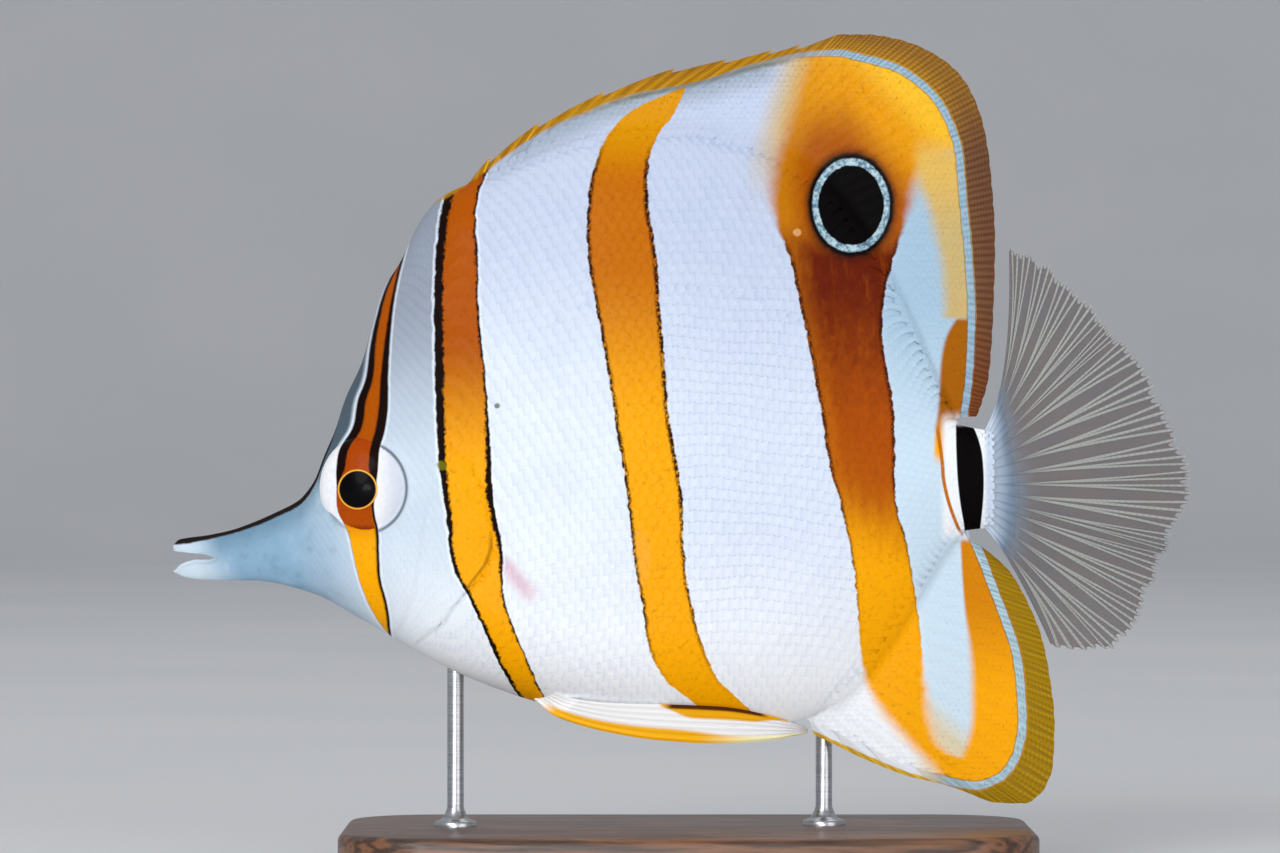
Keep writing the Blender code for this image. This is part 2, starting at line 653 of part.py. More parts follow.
def make_soft_dorsal(body, fish, materials):
    columns = 2 * DORSAL_RAYS

    def place(across, along, side):
        x = DORSAL_ROOT[0] + (DORSAL_ROOT[1] - DORSAL_ROOT[0]) * across
        root = body.fin_root(BACK_LINE, x)
        point = root + (Vector(smooth_point(DORSAL_MARGIN, across)) - root) * along
        half = thinning(smooth_value(BACK_EDGE, x), along)
        half += ray_crest(across, columns) * min(1.0, RAY_RAMP * along)
        return point.x, fin_sway(point.x) + side * half, point.y

    slab("dorsal_fin_soft", columns, FIN_ROWS, place, fish, materials["white_fin"])


def make_anal_fin(body, fish, materials):
    """Three strong spines along the front edge, then soft rays."""
    columns = 2 * (ANAL_SPINES + ANAL_RAYS)

    def place(across, along, side):
        root = body.fin_root(BELLY_LINE, smooth_value(ANAL_ROOT, across))
        margin = Vector(smooth_point(ANAL_MARGIN, across))
        column = round(across * columns)
        spiny = 0 < column <= 2 * ANAL_SPINES
        if spiny and column % 2:
            margin -= (margin - root).normalized() * ANAL_NOTCH
        point = root + (margin - root) * along
        half = thinning(smooth_value(BELLY_EDGE, root.x), along)
        if column % 2 == 0:
            half += (spine_crest(along) if spiny else RAY_RISE) * min(1.0, RAY_RAMP * along)
        return point.x, fin_sway(point.x) + side * half, point.y

    slab("anal_fin", columns, FIN_ROWS, place, fish, materials["yellow_fin"])


def make_caudal_fin(body, fish, materials):
    """Fan of rays that leaves the end of the tail base."""
    columns = 2 * CAUDAL_RAYS
    root_x = TAIL_END + GAP
    low, high = BELLY_LINE[-1][1] + CAUDAL_INSET, BACK_LINE[-1][1] - CAUDAL_INSET

    def place(across, along, side):
        root = Vector((root_x, high - (high - low) * across))
        tip = Vector(smooth_point(CAUDAL_MARGIN, across))
        bend = Vector((root.x + CAUDAL_FLARE, root.y + (tip.y - root.y) * CAUDAL_TURN))
        point = root * (1 - along) ** 2 + bend * (2 * along * (1 - along)) + tip * along ** 2
        end_width = body.half_width(TAIL_END, root.y)
        thick = max(0.0, 1.0 - along / CAUDAL_BLEND) ** 2
        half = FIN_EDGE + CAUDAL_SWELL * (1.0 - along)
        half += (end_width - half) * thick
        half += ray_crest(across, columns) * (1.0 - thick)
        y = sway(TAIL_END) + CAUDAL_SLOPE * (point.x - root_x) + CAUDAL_CUP * (2 * across - 1) ** 2 * along
        return point.x, y + side * half, point.y

    slab("caudal_fin", columns, CAUDAL_ROWS, place, fish, materials["clear_fin"])


def make_pectoral_fins(body, envelope, fish, materials):
    """Fans that leave the flank behind the gill covers and stand a little off it."""
    columns = 2 * PECTORAL_RAYS
    (first_x, first_z), (last_x, last_z) = PECTORAL_ROOT
    for word, hand in SIDES.items():

        def place(across, along, side):
            root_x = first_x + (last_x - first_x) * across
            root = Vector((root_x, first_z + (last_z - first_z) * across))
            tip = Vector(smooth_point(PECTORAL_MARGIN, across))
            point = root + (tip - root) * along
            flank = body.half_width(root.x, root.y)
            y = flank - PAIRED_FIN_SINK + (PECTORAL_SPLAY + PAIRED_FIN_SINK) * along ** PECTORAL_BOW
            half = FIN_EDGE + PECTORAL_SWELL * max(0.0, 1.0 - along / PECTORAL_SWELL_REACH)
            half += ray_crest(across, columns) * min(1.0, PECTORAL_RAMP * along)
            return point.x, hand * (y + side * half), point.y

        fin = slab(f"pectoral_fin_{word}", columns, PECTORAL_ROWS, place, fish)
        trim(fin, envelope, materials["clear_fin"])


def make_pelvic_fins(body, envelope, fish, materials):
    """Folded blades along both sides of the belly, each a spine below and soft rays above it."""
    columns = 2 * PELVIC_RAYS
    for word, hand in SIDES.items():

        def place(across, along, side):
            lower = Vector(smooth_point(PELVIC_LOWER, along))
            upper = Vector(smooth_point(PELVIC_UPPER, along))
            point = lower.lerp(upper, across)
            root = max(0.0, 1.0 - along / PELVIC_ROOT_REACH)
            y = body.half_width(upper.x, upper.y) + PELVIC_STANDOFF
            y -= (PELVIC_LEAN + PELVIC_ROOT_LEAN * root) * (1.0 - across)
            y -= (PELVIC_STANDOFF + PAIRED_FIN_SINK) * root
            half = FIN_EDGE + PELVIC_SWELL * max(0.0, 1.0 - along / PELVIC_SWELL_REACH)
            ramp = min(1.0, RAY_RAMP * (1.0 - along)) * min(1.0, PELVIC_ROOT_RAMP * along)
            half += ray_crest(across, columns) * ramp
            return point.x, hand * (y + side * half), point.y

        fin = slab(f"pelvic_fin_{word}", columns, PELVIC_ROWS, place, fish)
        trim(fin, envelope, materials["white_fin"])


def make_base(fish, materials):
    """Flat plate with round corners and a small round edge on top."""
    length, width, height = (size * MM for size in BASE_SIZE)
    mesh = bmesh.new()
    bmesh.ops.create_cube(mesh, size=1.0)
    bmesh.ops.scale(mesh, vec=(length, width, height), verts=mesh.verts)
    bmesh.ops.translate(mesh, vec=(0.0, 0.0, height / 2), verts=mesh.verts)

    def round_off(edges, size, steps):
        bmesh.ops.bevel(
            mesh, geom=edges, offset=size * MM, segments=steps, profile=0.5, affect="EDGES", material=-1
        )

    upright = [edge for edge in mesh.edges if abs(edge.verts[0].co.z - edge.verts[1].co.z) > height / 2]
    round_off(upright, BASE_CORNER, BASE_CORNER_STEPS)
    rim = [edge for edge in mesh.edges if all(vert.co.z > height / 2 for vert in edge.verts)]
    round_off(rim, BASE_BEVEL, BASE_BEVEL_STEPS)
    finish_mesh("stand_base", mesh, fish, materials["stand"])


def make_rods(envelope, fish, materials):
    """Turned rods that stand on the base and end just under the body."""
    foot = BASE_SIZE[2] + GAP
    for name, (x, y, top) in ROD_PLACES.items():
        profile = [(0.0, foot)] + [(radius, foot + up) for radius, up in ROD_COLLAR]
        profile += [(ROD_RADIUS, top), (0.0, top)]
        mesh = bmesh.new()
        verts = [mesh.verts.new(Vector((radius, 0.0, z)) * MM) for radius, z in profile]
        edges = [mesh.edges.new(pair) for pair in zip(verts, verts[1:])]
        bmesh.ops.spin(
            mesh, geom=verts + edges, axis=(0, 0, 1), cent=(0, 0, 0), angle=2 * math.pi,
            steps=ROD_STEPS, use_merge=True,
        )
        bmesh.ops.remove_doubles(mesh, verts=mesh.verts, dist=SEAM_WELD)
        bmesh.ops.translate(mesh, vec=Vector((x, y, 0.0)) * MM, verts=mesh.verts)
        rod = finish_mesh(name, mesh, fish, None)
        trim(rod, envelope, materials["steel_rod"])


def main():
    clear_scene()
    fish = new_collection("copperband_butterflyfish")
    cutters = new_collection("cutters")
    materials = make_materials()
    body = Body()
    make_body(body, fish, cutters, materials)
    envelope = as_cutter(slab("body_envelope", BODY_COLUMNS, BODY_ROWS, body.place(GAP), cutters))
    make_eyes(fish, materials)
    make_spiny_dorsal(body, fish, materials)
    make_soft_dorsal(body, fish, materials)
    make_anal_fin(body, fish, materials)
    make_caudal_fin(body, fish, materials)
    make_pectoral_fins(body, envelope, fish, materials)
    make_pelvic_fins(body, envelope, fish, materials)
    make_base(fish, materials)
    make_rods(envelope, fish, materials)


main()
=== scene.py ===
"""Looks of a copperband butterflyfish, life size and still, on a plain display stand.

Sizes are in millimetres and become metres where a mesh is placed. The fish faces -X, its back points
to +Z and its left side, at -Y, faces the camera.
"""

import logging
import math
from collections.abc import Callable, Sequence
from dataclasses import dataclass
from enum import Enum

import bmesh
import bpy
import numpy as np
from mathutils import Matrix, Vector


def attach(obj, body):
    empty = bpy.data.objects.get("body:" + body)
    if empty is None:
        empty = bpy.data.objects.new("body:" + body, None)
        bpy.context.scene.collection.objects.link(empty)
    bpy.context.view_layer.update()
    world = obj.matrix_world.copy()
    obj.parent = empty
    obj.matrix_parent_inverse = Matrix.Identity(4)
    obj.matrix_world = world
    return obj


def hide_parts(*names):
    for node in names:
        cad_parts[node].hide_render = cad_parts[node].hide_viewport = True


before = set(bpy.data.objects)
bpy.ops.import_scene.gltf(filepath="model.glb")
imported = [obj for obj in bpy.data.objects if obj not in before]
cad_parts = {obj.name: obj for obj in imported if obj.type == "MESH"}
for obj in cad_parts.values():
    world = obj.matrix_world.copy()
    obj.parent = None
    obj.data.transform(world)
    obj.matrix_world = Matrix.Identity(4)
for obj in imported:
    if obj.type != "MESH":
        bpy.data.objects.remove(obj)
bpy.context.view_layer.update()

MM = 0.001
BODY = "root"
LOG = logging.getLogger("butterflyfish")

Array = np.ndarray
Material = bpy.types.Material
Socket = bpy.types.NodeSocket
Tree = bpy.types.NodeTree
Form = bmesh.types.BMesh
Pair = tuple[float, float]
Triple = tuple[float, float, float]
Colour = tuple[float, float, float, float]
Oval = tuple[float, float, float, float]
Knots = tuple[Pair, ...]
Places = Callable[[Array, Array, Array], Array]


class Side(Enum):
    """Which flank a piece is on, as the sign of its Y."""

    LEFT = -1
    RIGHT = 1

    @property
    def word(self) -> str:
        """Name of the side in the names of pieces."""
        return self.name.lower()


class Slot(Enum):
    """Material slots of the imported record."""

    SKIN = "body_skin"
    BANDED_FIN = "banded_fin"
    CLEAR_FIN = "clear_fin"
    EYE = "eye"
    WOOD = "stand_wood"
    ROD = "stand_rod"


def joined(*parts: Array) -> Array:
    """Arrays side by side, as the columns of one."""
    return np.stack(parts, axis=-1)


@dataclass(frozen=True)
class Curve:
    """Smooth curve through (place, value) knots that never overshoots them."""

    knots: Knots

    def at(self, places: Array | float) -> Array:
        """Values of the curve.

        Args:
            places: Where to read it. Past its ends the curve stays level.

        Returns:
            The values, one for each place.
        """
        spots, values = np.array(self.knots, float).T
        places = np.clip(places, spots[0], spots[-1])
        steps = np.diff(spots)
        slopes = np.diff(values) / steps
        before, after = slopes[:-1], slopes[1:]
        total = np.where(before * after > 0.0, before + after, 1.0)
        inner = np.where(before * after > 0.0, 2.0 * before * after / total, 0.0)
        tangents = np.concatenate((slopes[:1], inner, slopes[-1:]))
        index = np.clip(np.searchsorted(spots, places, side="right") - 1, 0, len(steps) - 1)
        t = (places - spots[index]) / steps[index]
        lead = (1 + 2 * t) * (1 - t) ** 2 * values[index] + t * t * (3 - 2 * t) * values[index + 1]
        bend = t * (1 - t) ** 2 * tangents[index] - t * t * (1 - t) * tangents[index + 1]
        return lead + steps[index] * bend


@dataclass(frozen=True)
class Path:
    """Smooth side-view path through (share, x, z) knots."""

    knots: tuple[Triple, ...]

    def at(self, shares: Array) -> Array:
        """Points (x, z) of the path at shares of its length, one row for each."""
        x = Curve(tuple((knot[0], knot[1]) for knot in self.knots)).at(shares)
        z = Curve(tuple((knot[0], knot[2]) for knot in self.knots)).at(shares)
        return joined(x, z)


def ease(value: Array | float, low: float, high: float) -> Array:
    """Smooth step of a value from 0 at low to 1 at high."""
    t = np.clip((value - low) / (high - low), 0.0, 1.0)
    return t * t * (3.0 - 2.0 * t)


def hump(value: Array, width: float) -> Array:
    """Round bell, 1 where the value is 0 and fading over a width."""
    return np.exp(-((value / width) ** 2))


def signed_distance(points: Array, line: Array) -> Array:
    """Shortest way in side view from points to a line of short steps.

    Args:
        points: Points (x, z), one row for each.
        line: The line's points in order.

    Returns:
        The distances, above zero to the left of the line's way and below zero to its right.
    """
    best = np.full(len(points), np.inf)
    sign = np.ones(len(points))
    for start, end in zip(line, line[1:]):
        along = end - start
        off = points - start
        share = np.clip(off @ along / (along @ along), 0.0, 1.0)
        distance = np.hypot(*(off - share[:, None] * along).T)
        nearer = distance < best
        turn = along[0] * off[:, 1] - along[1] * off[:, 0]
        best = np.where(nearer, distance, best)
        sign = np.where(nearer, np.where(turn >= 0.0, 1.0, -1.0), sign)
    return best * sign


def finish_mesh(name: str, form: Form, material: Material | None) -> bpy.types.Object:
    """Turn a bmesh into a smooth-shaded object in the scene.

    Args:
        name: Name of the object.
        form: The bmesh, which is freed.
        material: Its finish, or None where it is given later.

    Returns:
        The new object.
    """
    bmesh.ops.recalc_face_normals(form, faces=form.faces)
    mesh = bpy.data.meshes.new(name)
    form.to_mesh(mesh)
    form.free()
    if material:
        mesh.materials.append(material)
    mesh.shade_smooth()
    mesh.set_sharp_from_angle(angle=math.radians(48.0))
    obj = bpy.data.objects.new(name, mesh)
    bpy.context.scene.collection.objects.link(obj)
    return obj


def add_field(obj: bpy.types.Object, name: str, values: Array) -> None:
    """Give each vertex of a mesh one number that its material can read."""
    field = obj.data.attributes.new(name, "FLOAT", "POINT")
    field.data.foreach_set("value", np.asarray(values, np.float32))


def vertex_places(obj: bpy.types.Object) -> Array:
    """Places of a mesh's vertices in millimetres, one row for each."""
    places = np.empty(len(obj.data.vertices) * 3, np.float32)
    obj.data.vertices.foreach_get("co", places)
    return places.reshape(-1, 3).astype(float) / MM


def sheet(
    name: str, columns: int, rows: int, place: Places, material: Material
) -> bpy.types.Object:
    """Closed sheet with thickness: a grid and its extruded copy, each set by a function.

    Args:
        name: Name of the object.
        columns: Cells across the sheet.
        rows: Cells from its root to its margin.
        place: Gives points in millimetres from shares across and along, and the face's side.
        material: Finish of the sheet.

    Returns:
        The sheet, with its shares across and along kept for its material.
    """
    form = bmesh.new()
    bmesh.ops.create_grid(form, x_segments=columns, y_segments=rows, size=0.5)
    first = set(form.verts)
    bmesh.ops.extrude_face_region(form, geom=form.faces[:], use_keep_orig=True)
    shares = np.array([tuple(vert.co) for vert in form.verts], float)
    across, along = shares[:, 0] + 0.5, shares[:, 1] + 0.5
    sides = np.array([-1.0 if vert in first else 1.0 for vert in form.verts])
    for vert, point in zip(form.verts, place(across, along, sides) * MM):
        vert.co = point
    obj = finish_mesh(name, form, material)
    add_field(obj, "across", across)
    add_field(obj, "along", along)
    return obj


def tapered_rod(
    form: Form, start: Vector, end: Vector, radii: Pair, segments: int = 10
) -> None:
    """Add a closed round cone between two points in millimetres to a bmesh."""
    way = end - start
    turn = way.to_track_quat("Z", "Y").to_matrix().to_4x4()
    placed = Matrix.Translation((start + end) / 2 * MM) @ turn
    bmesh.ops.create_cone(
        form, cap_ends=True, segments=segments, radius1=radii[0] * MM, radius2=radii[1] * MM,
        depth=way.length * MM, matrix=placed,
    )


def lathe(profile: Sequence[Pair], steps: int, merge: float) -> Form:
    """Turn a profile about the upright axis.

    Args:
        profile: Its points (radius, height) in metres.
        steps: Steps of the full turn.
        merge: Way in metres within which points become one.

    Returns:
        The turned form.
    """
    form = bmesh.new()
    verts = [form.verts.new((radius, 0.0, height)) for radius, height in profile]
    edges = [form.edges.new(pair) for pair in zip(verts, verts[1:])]
    bmesh.ops.spin(
        form, geom=verts + edges, axis=(0, 0, 1), cent=(0, 0, 0), angle=2 * math.pi, steps=steps,
        use_merge=True,
    )
    bmesh.ops.remove_doubles(form, verts=form.verts, dist=merge)
    return form


def put(obj: bpy.types.Object, slot: Slot, *nodes: str) -> None:
    """Ride a finished piece on the part and hide the solids that it stands for."""
    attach(obj, BODY)
    if nodes:
        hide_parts(*nodes)
    LOG.info("%s: %d vertices, %d faces", obj.name, len(obj.data.vertices), len(obj.data.polygons))


@dataclass(frozen=True)
class BodyForm:
    """The fish's body: its side view, its width at each point of it and the relief of its skin."""

    tip: float = -77.5
    end: float = 45.6
    back: Curve = Curve((
        (-77.5, 48.5), (-76.6, 49.3), (-72.3, 49.95), (-68.8, 50.7), (-65.4, 51.9), (-62.0, 53.4),
        (-58.6, 55.2), (-57.2, 56.7), (-56.1, 58.4), (-54.8, 61.8), (-53.1, 65.8), (-51.7, 70.2),
        (-49.0, 76.2), (-47.4, 82.2), (-46.0, 86.7), (-43.4, 90.9), (-40.3, 97.2), (-37.2, 100.8),
        (-31.2, 103.6), (-25.2, 106.3), (-13.2, 110.1), (-1.2, 111.3), (10.8, 108.9), (19.8, 103.2),
        (27.3, 94.2), (34.0, 81.4), (38.5, 71.0), (41.1, 66.6), (45.6, 65.7),
    ))
    belly: Curve = Curve((
        (-77.5, 44.2), (-76.0, 43.5), (-74.0, 43.1), (-68.8, 42.9), (-65.4, 42.9), (-62.0, 42.5),
        (-58.5, 41.6), (-55.0, 40.4), (-50.4, 37.8), (-46.3, 35.5), (-41.1, 32.4), (-32.7, 28.2),
        (-22.2, 24.5), (-10.2, 21.9), (1.8, 20.8), (12.3, 21.1), (17.7, 22.2), (24.3, 26.2), (30.3, 33.5),
        (35.5, 41.7), (39.3, 47.7), (42.0, 50.4), (45.6, 50.8),
    ))
    half: Curve = Curve((
        (-77.5, 1.0), (-75.0, 1.5), (-70.0, 2.1), (-64.0, 2.7), (-59.5, 3.6), (-56.0, 5.4), (-52.0, 7.0),
        (-47.0, 8.0), (-40.0, 8.8), (-28.0, 9.6), (-12.0, 9.5), (3.0, 8.5), (18.0, 6.8), (30.0, 5.2),
        (38.0, 3.8), (45.6, 2.6),
    ))
    back_reach: Curve = Curve((
        (-77.5, 2.4), (-68.5, 3.8), (-62.0, 5.2), (-58.0, 7.0), (-52.0, 9.0), (-46.0, 11.0), (-38.0, 16.0),
        (-25.0, 26.0), (-5.0, 30.0), (15.0, 28.0), (30.0, 20.0), (40.0, 7.5), (45.6, 7.0),
    ))
    belly_reach: Curve = Curve((
        (-77.5, 2.4), (-68.5, 3.8), (-62.0, 5.0), (-55.0, 7.0), (-48.0, 9.0), (-35.0, 11.0), (-15.0, 13.0),
        (5.0, 16.0), (20.0, 18.0), (30.0, 14.0), (40.0, 7.5), (45.6, 7.0),
    ))
    back_sharpness: Curve = Curve((
        (-58.0, 0.5), (-50.0, 0.55), (-40.0, 0.62), (-25.0, 0.72), (30.0, 0.75), (40.0, 0.6), (45.6, 0.5),
    ))
    belly_sharpness: Curve = Curve((
        (-50.0, 0.5), (-20.0, 0.6), (5.0, 0.7), (25.0, 0.75), (40.0, 0.6), (45.6, 0.5),
    ))
    back_edge: Curve = Curve((
        (-77.5, 0.3), (-40.0, 0.4), (-34.0, 0.9), (-20.0, 1.1), (25.0, 1.1), (41.0, 0.8), (43.0, 0.4),
    ))
    belly_edge: Curve = Curve((
        (-77.5, 0.3), (-30.0, 0.5), (5.0, 0.9), (18.0, 1.1), (36.0, 0.9), (41.5, 0.8), (43.0, 0.4),
    ))
    sway_start: float = 30.0
    sway_curve: float = 0.0141
    fin_sway_start: float = 42.0
    fin_sway_slope: float = 0.05
    inset: float = 0.24
    outline_steps: int = 160

    gill_edge: Curve = Curve((
        (30.5, -43.5), (34.2, -40.2), (37.0, -36.8), (41.0, -33.6), (44.4, -30.6), (48.4, -29.3),
        (53.7, -30.0), (60.4, -32.4), (67.0, -35.3),
    ))
    cheek_edge: Curve = Curve((
        (32.0, -45.5), (37.5, -42.6), (41.7, -41.1), (47.7, -40.2), (55.2, -39.0), (60.9, -37.2),
    ))
    side_line: Curve = Curve((
        (-33.0, 72.0), (-15.3, 84.0), (2.0, 87.0), (20.0, 80.0), (36.0, 64.0), (45.6, 58.3),
    ))
    nostrils: Knots = ((-55.2, 58.7), (-54.7, 60.2))
    orbit: Oval = (-48.3, 57.0, 6.0, 6.5)
    gape: Knots = (
        (-79.0, 47.5), (-77.3, 47.4), (-72.6, 46.95), (-71.3, 46.45), (-71.9, 46.2), (-74.1, 46.2),
        (-75.6, 45.8), (-76.6, 45.3), (-77.2, 44.6), (-79.0, 44.2),
    )

    def outline(self, line: Curve) -> Array:
        """The back or belly line as many short steps, one row (x, z) for each."""
        x = np.linspace(self.tip, self.end, self.outline_steps + 1)
        return joined(x, line.at(x))

    def half_width(self, x: Array, z: Array) -> Array:
        """Half the body's width at points of its side view, and its edge's half width outside."""
        low, high = self.belly.at(x), self.back.at(x)
        height = np.clip((z - low) / (high - low), 0.0, 1.0)
        edge = self.belly_edge.at(x) * (1.0 - height) + self.back_edge.at(x) * height
        points = joined(x, z)
        share = np.ones(len(x))
        for line, reach, sharpness in (
            (self.back, self.back_reach, self.back_sharpness),
            (self.belly, self.belly_reach, self.belly_sharpness),
        ):
            distance = np.abs(signed_distance(points, self.outline(line)))
            inwards = np.clip(distance / reach.at(x), 0.0, 1.0)
            share *= (1.0 - (1.0 - inwards) ** 2) ** sharpness.at(x)
        inside = (z > low) & (z < high)
        return edge + np.where(inside, (self.half.at(x) - edge) * share, 0.0)

    def off_orbit(self, x: Array, z: Array) -> Array:
        """How far points lie outside the rim of the eye, in millimetres, below zero inside it."""
        middle_x, middle_z, reach_x, reach_z = self.orbit
        return (np.hypot((x - middle_x) / reach_x, (z - middle_z) / reach_z) - 1.0) * reach_z

    def relief(self, x: Array, z: Array) -> Array:
        """Rise of the skin at the gill cover, cheek, nostrils, eye, lips and side line."""
        behind = x - self.gill_edge.at(z)
        fade = ease(z, 31.0, 37.0) * (1.0 - ease(z, 58.0, 66.0))
        rise = fade * np.where(behind < 0.0, 0.34 * np.exp(behind / 2.6), -0.2 * np.exp(-behind / 0.7))
        cheek = x - self.cheek_edge.at(z)
        fade = ease(z, 32.0, 38.0) * (1.0 - ease(z, 54.0, 61.0))
        rise += fade * (0.14 * hump(cheek + 0.5, 0.7) - 0.12 * hump(cheek - 0.5, 0.5))
        for pit_x, pit_z in self.nostrils:
            off = np.hypot(x - pit_x, z - pit_z)
            rise += 0.14 * hump(off - 0.62, 0.2) - 0.5 * hump(off, 0.34)
        off = self.off_orbit(x, z)
        rise += 0.34 * hump(off - 0.25, 0.45) - 1.1 * ease(-off, 0.0, 1.4)
        near = x < -70.5
        lip = np.zeros(len(x))
        lip[near] = np.abs(signed_distance(joined(x[near], z[near]), np.array(self.gape)))
        rise += np.where(near, 0.2 * hump(lip - 0.3, 0.26), 0.0)
        return rise + 0.07 * hump(z - self.side_line.at(x), 0.45) * ease(x, -33.0, -30.0)

    def surface(self, x: Array, z: Array) -> Array:
        """Half width of the skin, which lies just inside the solids and is round at the snout's tip."""
        nose = np.clip((x - self.tip) / 1.8, 0.02, 1.0)
        tip_round = np.sqrt(1.0 - (1.0 - nose) ** 2)
        return np.maximum(self.half_width(x, z) * tip_round - self.inset + self.relief(x, z), 0.06)

    def sway(self, x: Array) -> Array:
        """How far the middle of the body lies to +Y."""
        return 0.5 * self.sway_curve * np.maximum(0.0, x - self.sway_start) ** 2

    def fin_sway(self, x: Array) -> Array:
        """Sideways place of the dorsal and anal fins, which follow the body and then run straight."""
        straight = self.fin_sway_slope * np.maximum(0.0, x - self.fin_sway_start)
        return self.sway(np.minimum(x, self.fin_sway_start)) + straight

    def fin_root(self, line: Curve, x: Array, sink: float) -> Array:
        """Points (x, z) that lie a little inside the back or belly line."""
        step = 0.05
        way = joined(np.full(len(x), 2 * step), line.at(x + step) - line.at(x - step))
        outward = joined(-way[:, 1], way[:, 0]) / np.hypot(*way.T)[:, None]
        if line is self.belly:
            outward = -outward
        return joined(x, line.at(x)) - outward * sink


def srgb(red: int, green: int, blue: int) -> Colour:
    """A colour given as seen, in 0 to 255, as the linear values that shaders take."""
    seen = np.array((red, green, blue)) / 255.0
    linear = np.where(seen <= 0.04045, seen / 12.92, ((seen + 0.055) / 1.055) ** 2.4)
    return (*(float(part) for part in linear), 1.0)


Given = "Field | Socket | float"


@dataclass(frozen=True)
class Field:
    """A number that changes over a surface: one output of a shader node, with plain arithmetic."""

    graph: "Graph"
    socket: Socket

    def __add__(self, other: Given) -> "Field":
        """Sum with another field or number."""
        return self.graph.math("ADD", self, other)

    def __sub__(self, other: Given) -> "Field":
        """Difference from another field or number."""
        return self.graph.math("SUBTRACT", self, other)

    def __mul__(self, other: Given) -> "Field":
        """Product with another field or number."""
        return self.graph.math("MULTIPLY", self, other)

    def low(self, other: Given) -> "Field":
        """The lower of this and another."""
        return self.graph.math("MINIMUM", self, other)

    def high(self, other: Given) -> "Field":
        """The higher of this and another."""
        return self.graph.math("MAXIMUM", self, other)

    def off(self) -> "Field":
        """This field without its sign."""
        return self.graph.math("ABSOLUTE", self)

    def rest(self) -> "Field":
        """One minus this field."""
        return self.graph.math("SUBTRACT", 1.0, self)

    def ease(self, low: Given, high: Given) -> "Field":
        """Smooth step from 0 at low to 1 at high."""
        node = self.graph.node("ShaderNodeMapRange", interpolation_type="SMOOTHSTEP")
        for socket, value in zip(node.inputs, (self, low, high, 0.0, 1.0)):
            self.graph.feed(socket, value)
        return Field(self.graph, node.outputs["Result"])

    def near(self, place: Given, reach: float) -> "Field":
        """Soft mask that is 1 at a place and 0 past a reach from it."""
        return (self - place).off().ease(0.0, reach).rest()


class Graph:
    """Short way to place shader nodes in a tree and to join them."""

    span: float = 160.0

    def __init__(self, tree: Tree) -> None:
        """Work in a node tree."""
        self.tree = tree

    def node(self, kind: str, **settings: object) -> bpy.types.Node:
        """Add a node and set its options."""
        node = self.tree.nodes.new(kind)
        for name, value in settings.items():
            setattr(node, name, value)
        return node

    def feed(self, socket: Socket, value: object) -> None:
        """Join an output to a socket, or set the socket's own value."""
        if isinstance(value, Field):
            value = value.socket
        if isinstance(value, Socket):
            self.tree.links.new(value, socket)
        else:
            socket.default_value = value

    def give(self, node: bpy.types.Node, **values: object) -> None:
        """Feed a node's inputs by name, with _ for each blank."""
        for name, value in values.items():
            self.feed(node.inputs[name.replace("_", " ")], value)

    def math(self, operation: str, *values: Given) -> Field:
        """Add a Math node."""
        node = self.node("ShaderNodeMath", operation=operation)
        for socket, value in zip(node.inputs, values):
            self.feed(socket, value)
        return Field(self, node.outputs[0])

    def length(self, along: Field, up: Field) -> Field:
        """Length of a way from its two parts."""
        return self.math("POWER", along * along + up * up, 0.5)

    def read(self, name: str) -> Field:
        """A number that the mesh holds at each vertex."""
        return Field(self, self.node("ShaderNodeAttribute", attribute_name=name).outputs["Fac"])

    def mix(self, factor: Given, first: object, second: object, blend: str = "MIX") -> Socket:
        """Mix two colours by a mask."""
        node = self.node("ShaderNodeMix", data_type="RGBA", blend_type=blend)
        for name, value in (("Factor_Float", factor), ("A_Color", first), ("B_Color", second)):
            self.feed(next(item for item in node.inputs if item.identifier == name), value)
        return next(item for item in node.outputs if item.identifier == "Result_Color")

    def side_view(self, position: Socket) -> list[Field]:
        """How far along the fish and how high a place lies, in millimetres."""
        parts = self.node("ShaderNodeSeparateXYZ")
        self.feed(parts.inputs[0], position)
        return [Field(self, parts.outputs[axis]) * (1.0 / MM) for axis in ("X", "Z")]

    def stretched(self, position: Socket, scale: tuple[float, ...]) -> Socket:
        """A place scaled axis by axis, for noise that runs longer one way."""
        mapping = self.node("ShaderNodeMapping")
        mapping.inputs["Scale"].default_value = scale
        self.feed(mapping.inputs["Vector"], position)
        return mapping.outputs["Vector"]

    def noise(self, position: object, scale: float, detail: float = 2.0, roughness: float = 0.5) -> Field:
        """Noise about zero, with a scale in lumps per metre."""
        node = self.node("ShaderNodeTexNoise")
        self.give(node, Vector=position, Scale=scale, Detail=detail, Roughness=roughness)
        return Field(self, node.outputs["Fac"]) - 0.5

    def curve(self, place: Field, knots: Knots) -> Field:
        """Smooth curve over a field from 0 to the span, with values up to half the span either way."""
        node, span = self.node("ShaderNodeFloatCurve"), self.span
        line = node.mapping.curves[0]
        shares = [(place / span, (value + span / 2) / span) for place, value in knots]
        line.points[0].location, line.points[1].location = shares[0], shares[-1]
        for share in shares[1:-1]:
            line.points.new(*share)
        node.mapping.update()
        self.feed(node.inputs["Value"], place * (1.0 / span))
        return Field(self, node.outputs[0]) * span - span / 2

    def group(self, tree: Tree, **values: object) -> bpy.types.Node:
        """Place a node group and feed its inputs by name, with _ for each blank."""
        node = self.node("ShaderNodeGroup", node_tree=tree)
        for name, value in values.items():
            self.feed(node.inputs[name.replace("_", " ").capitalize()], value)
        return node


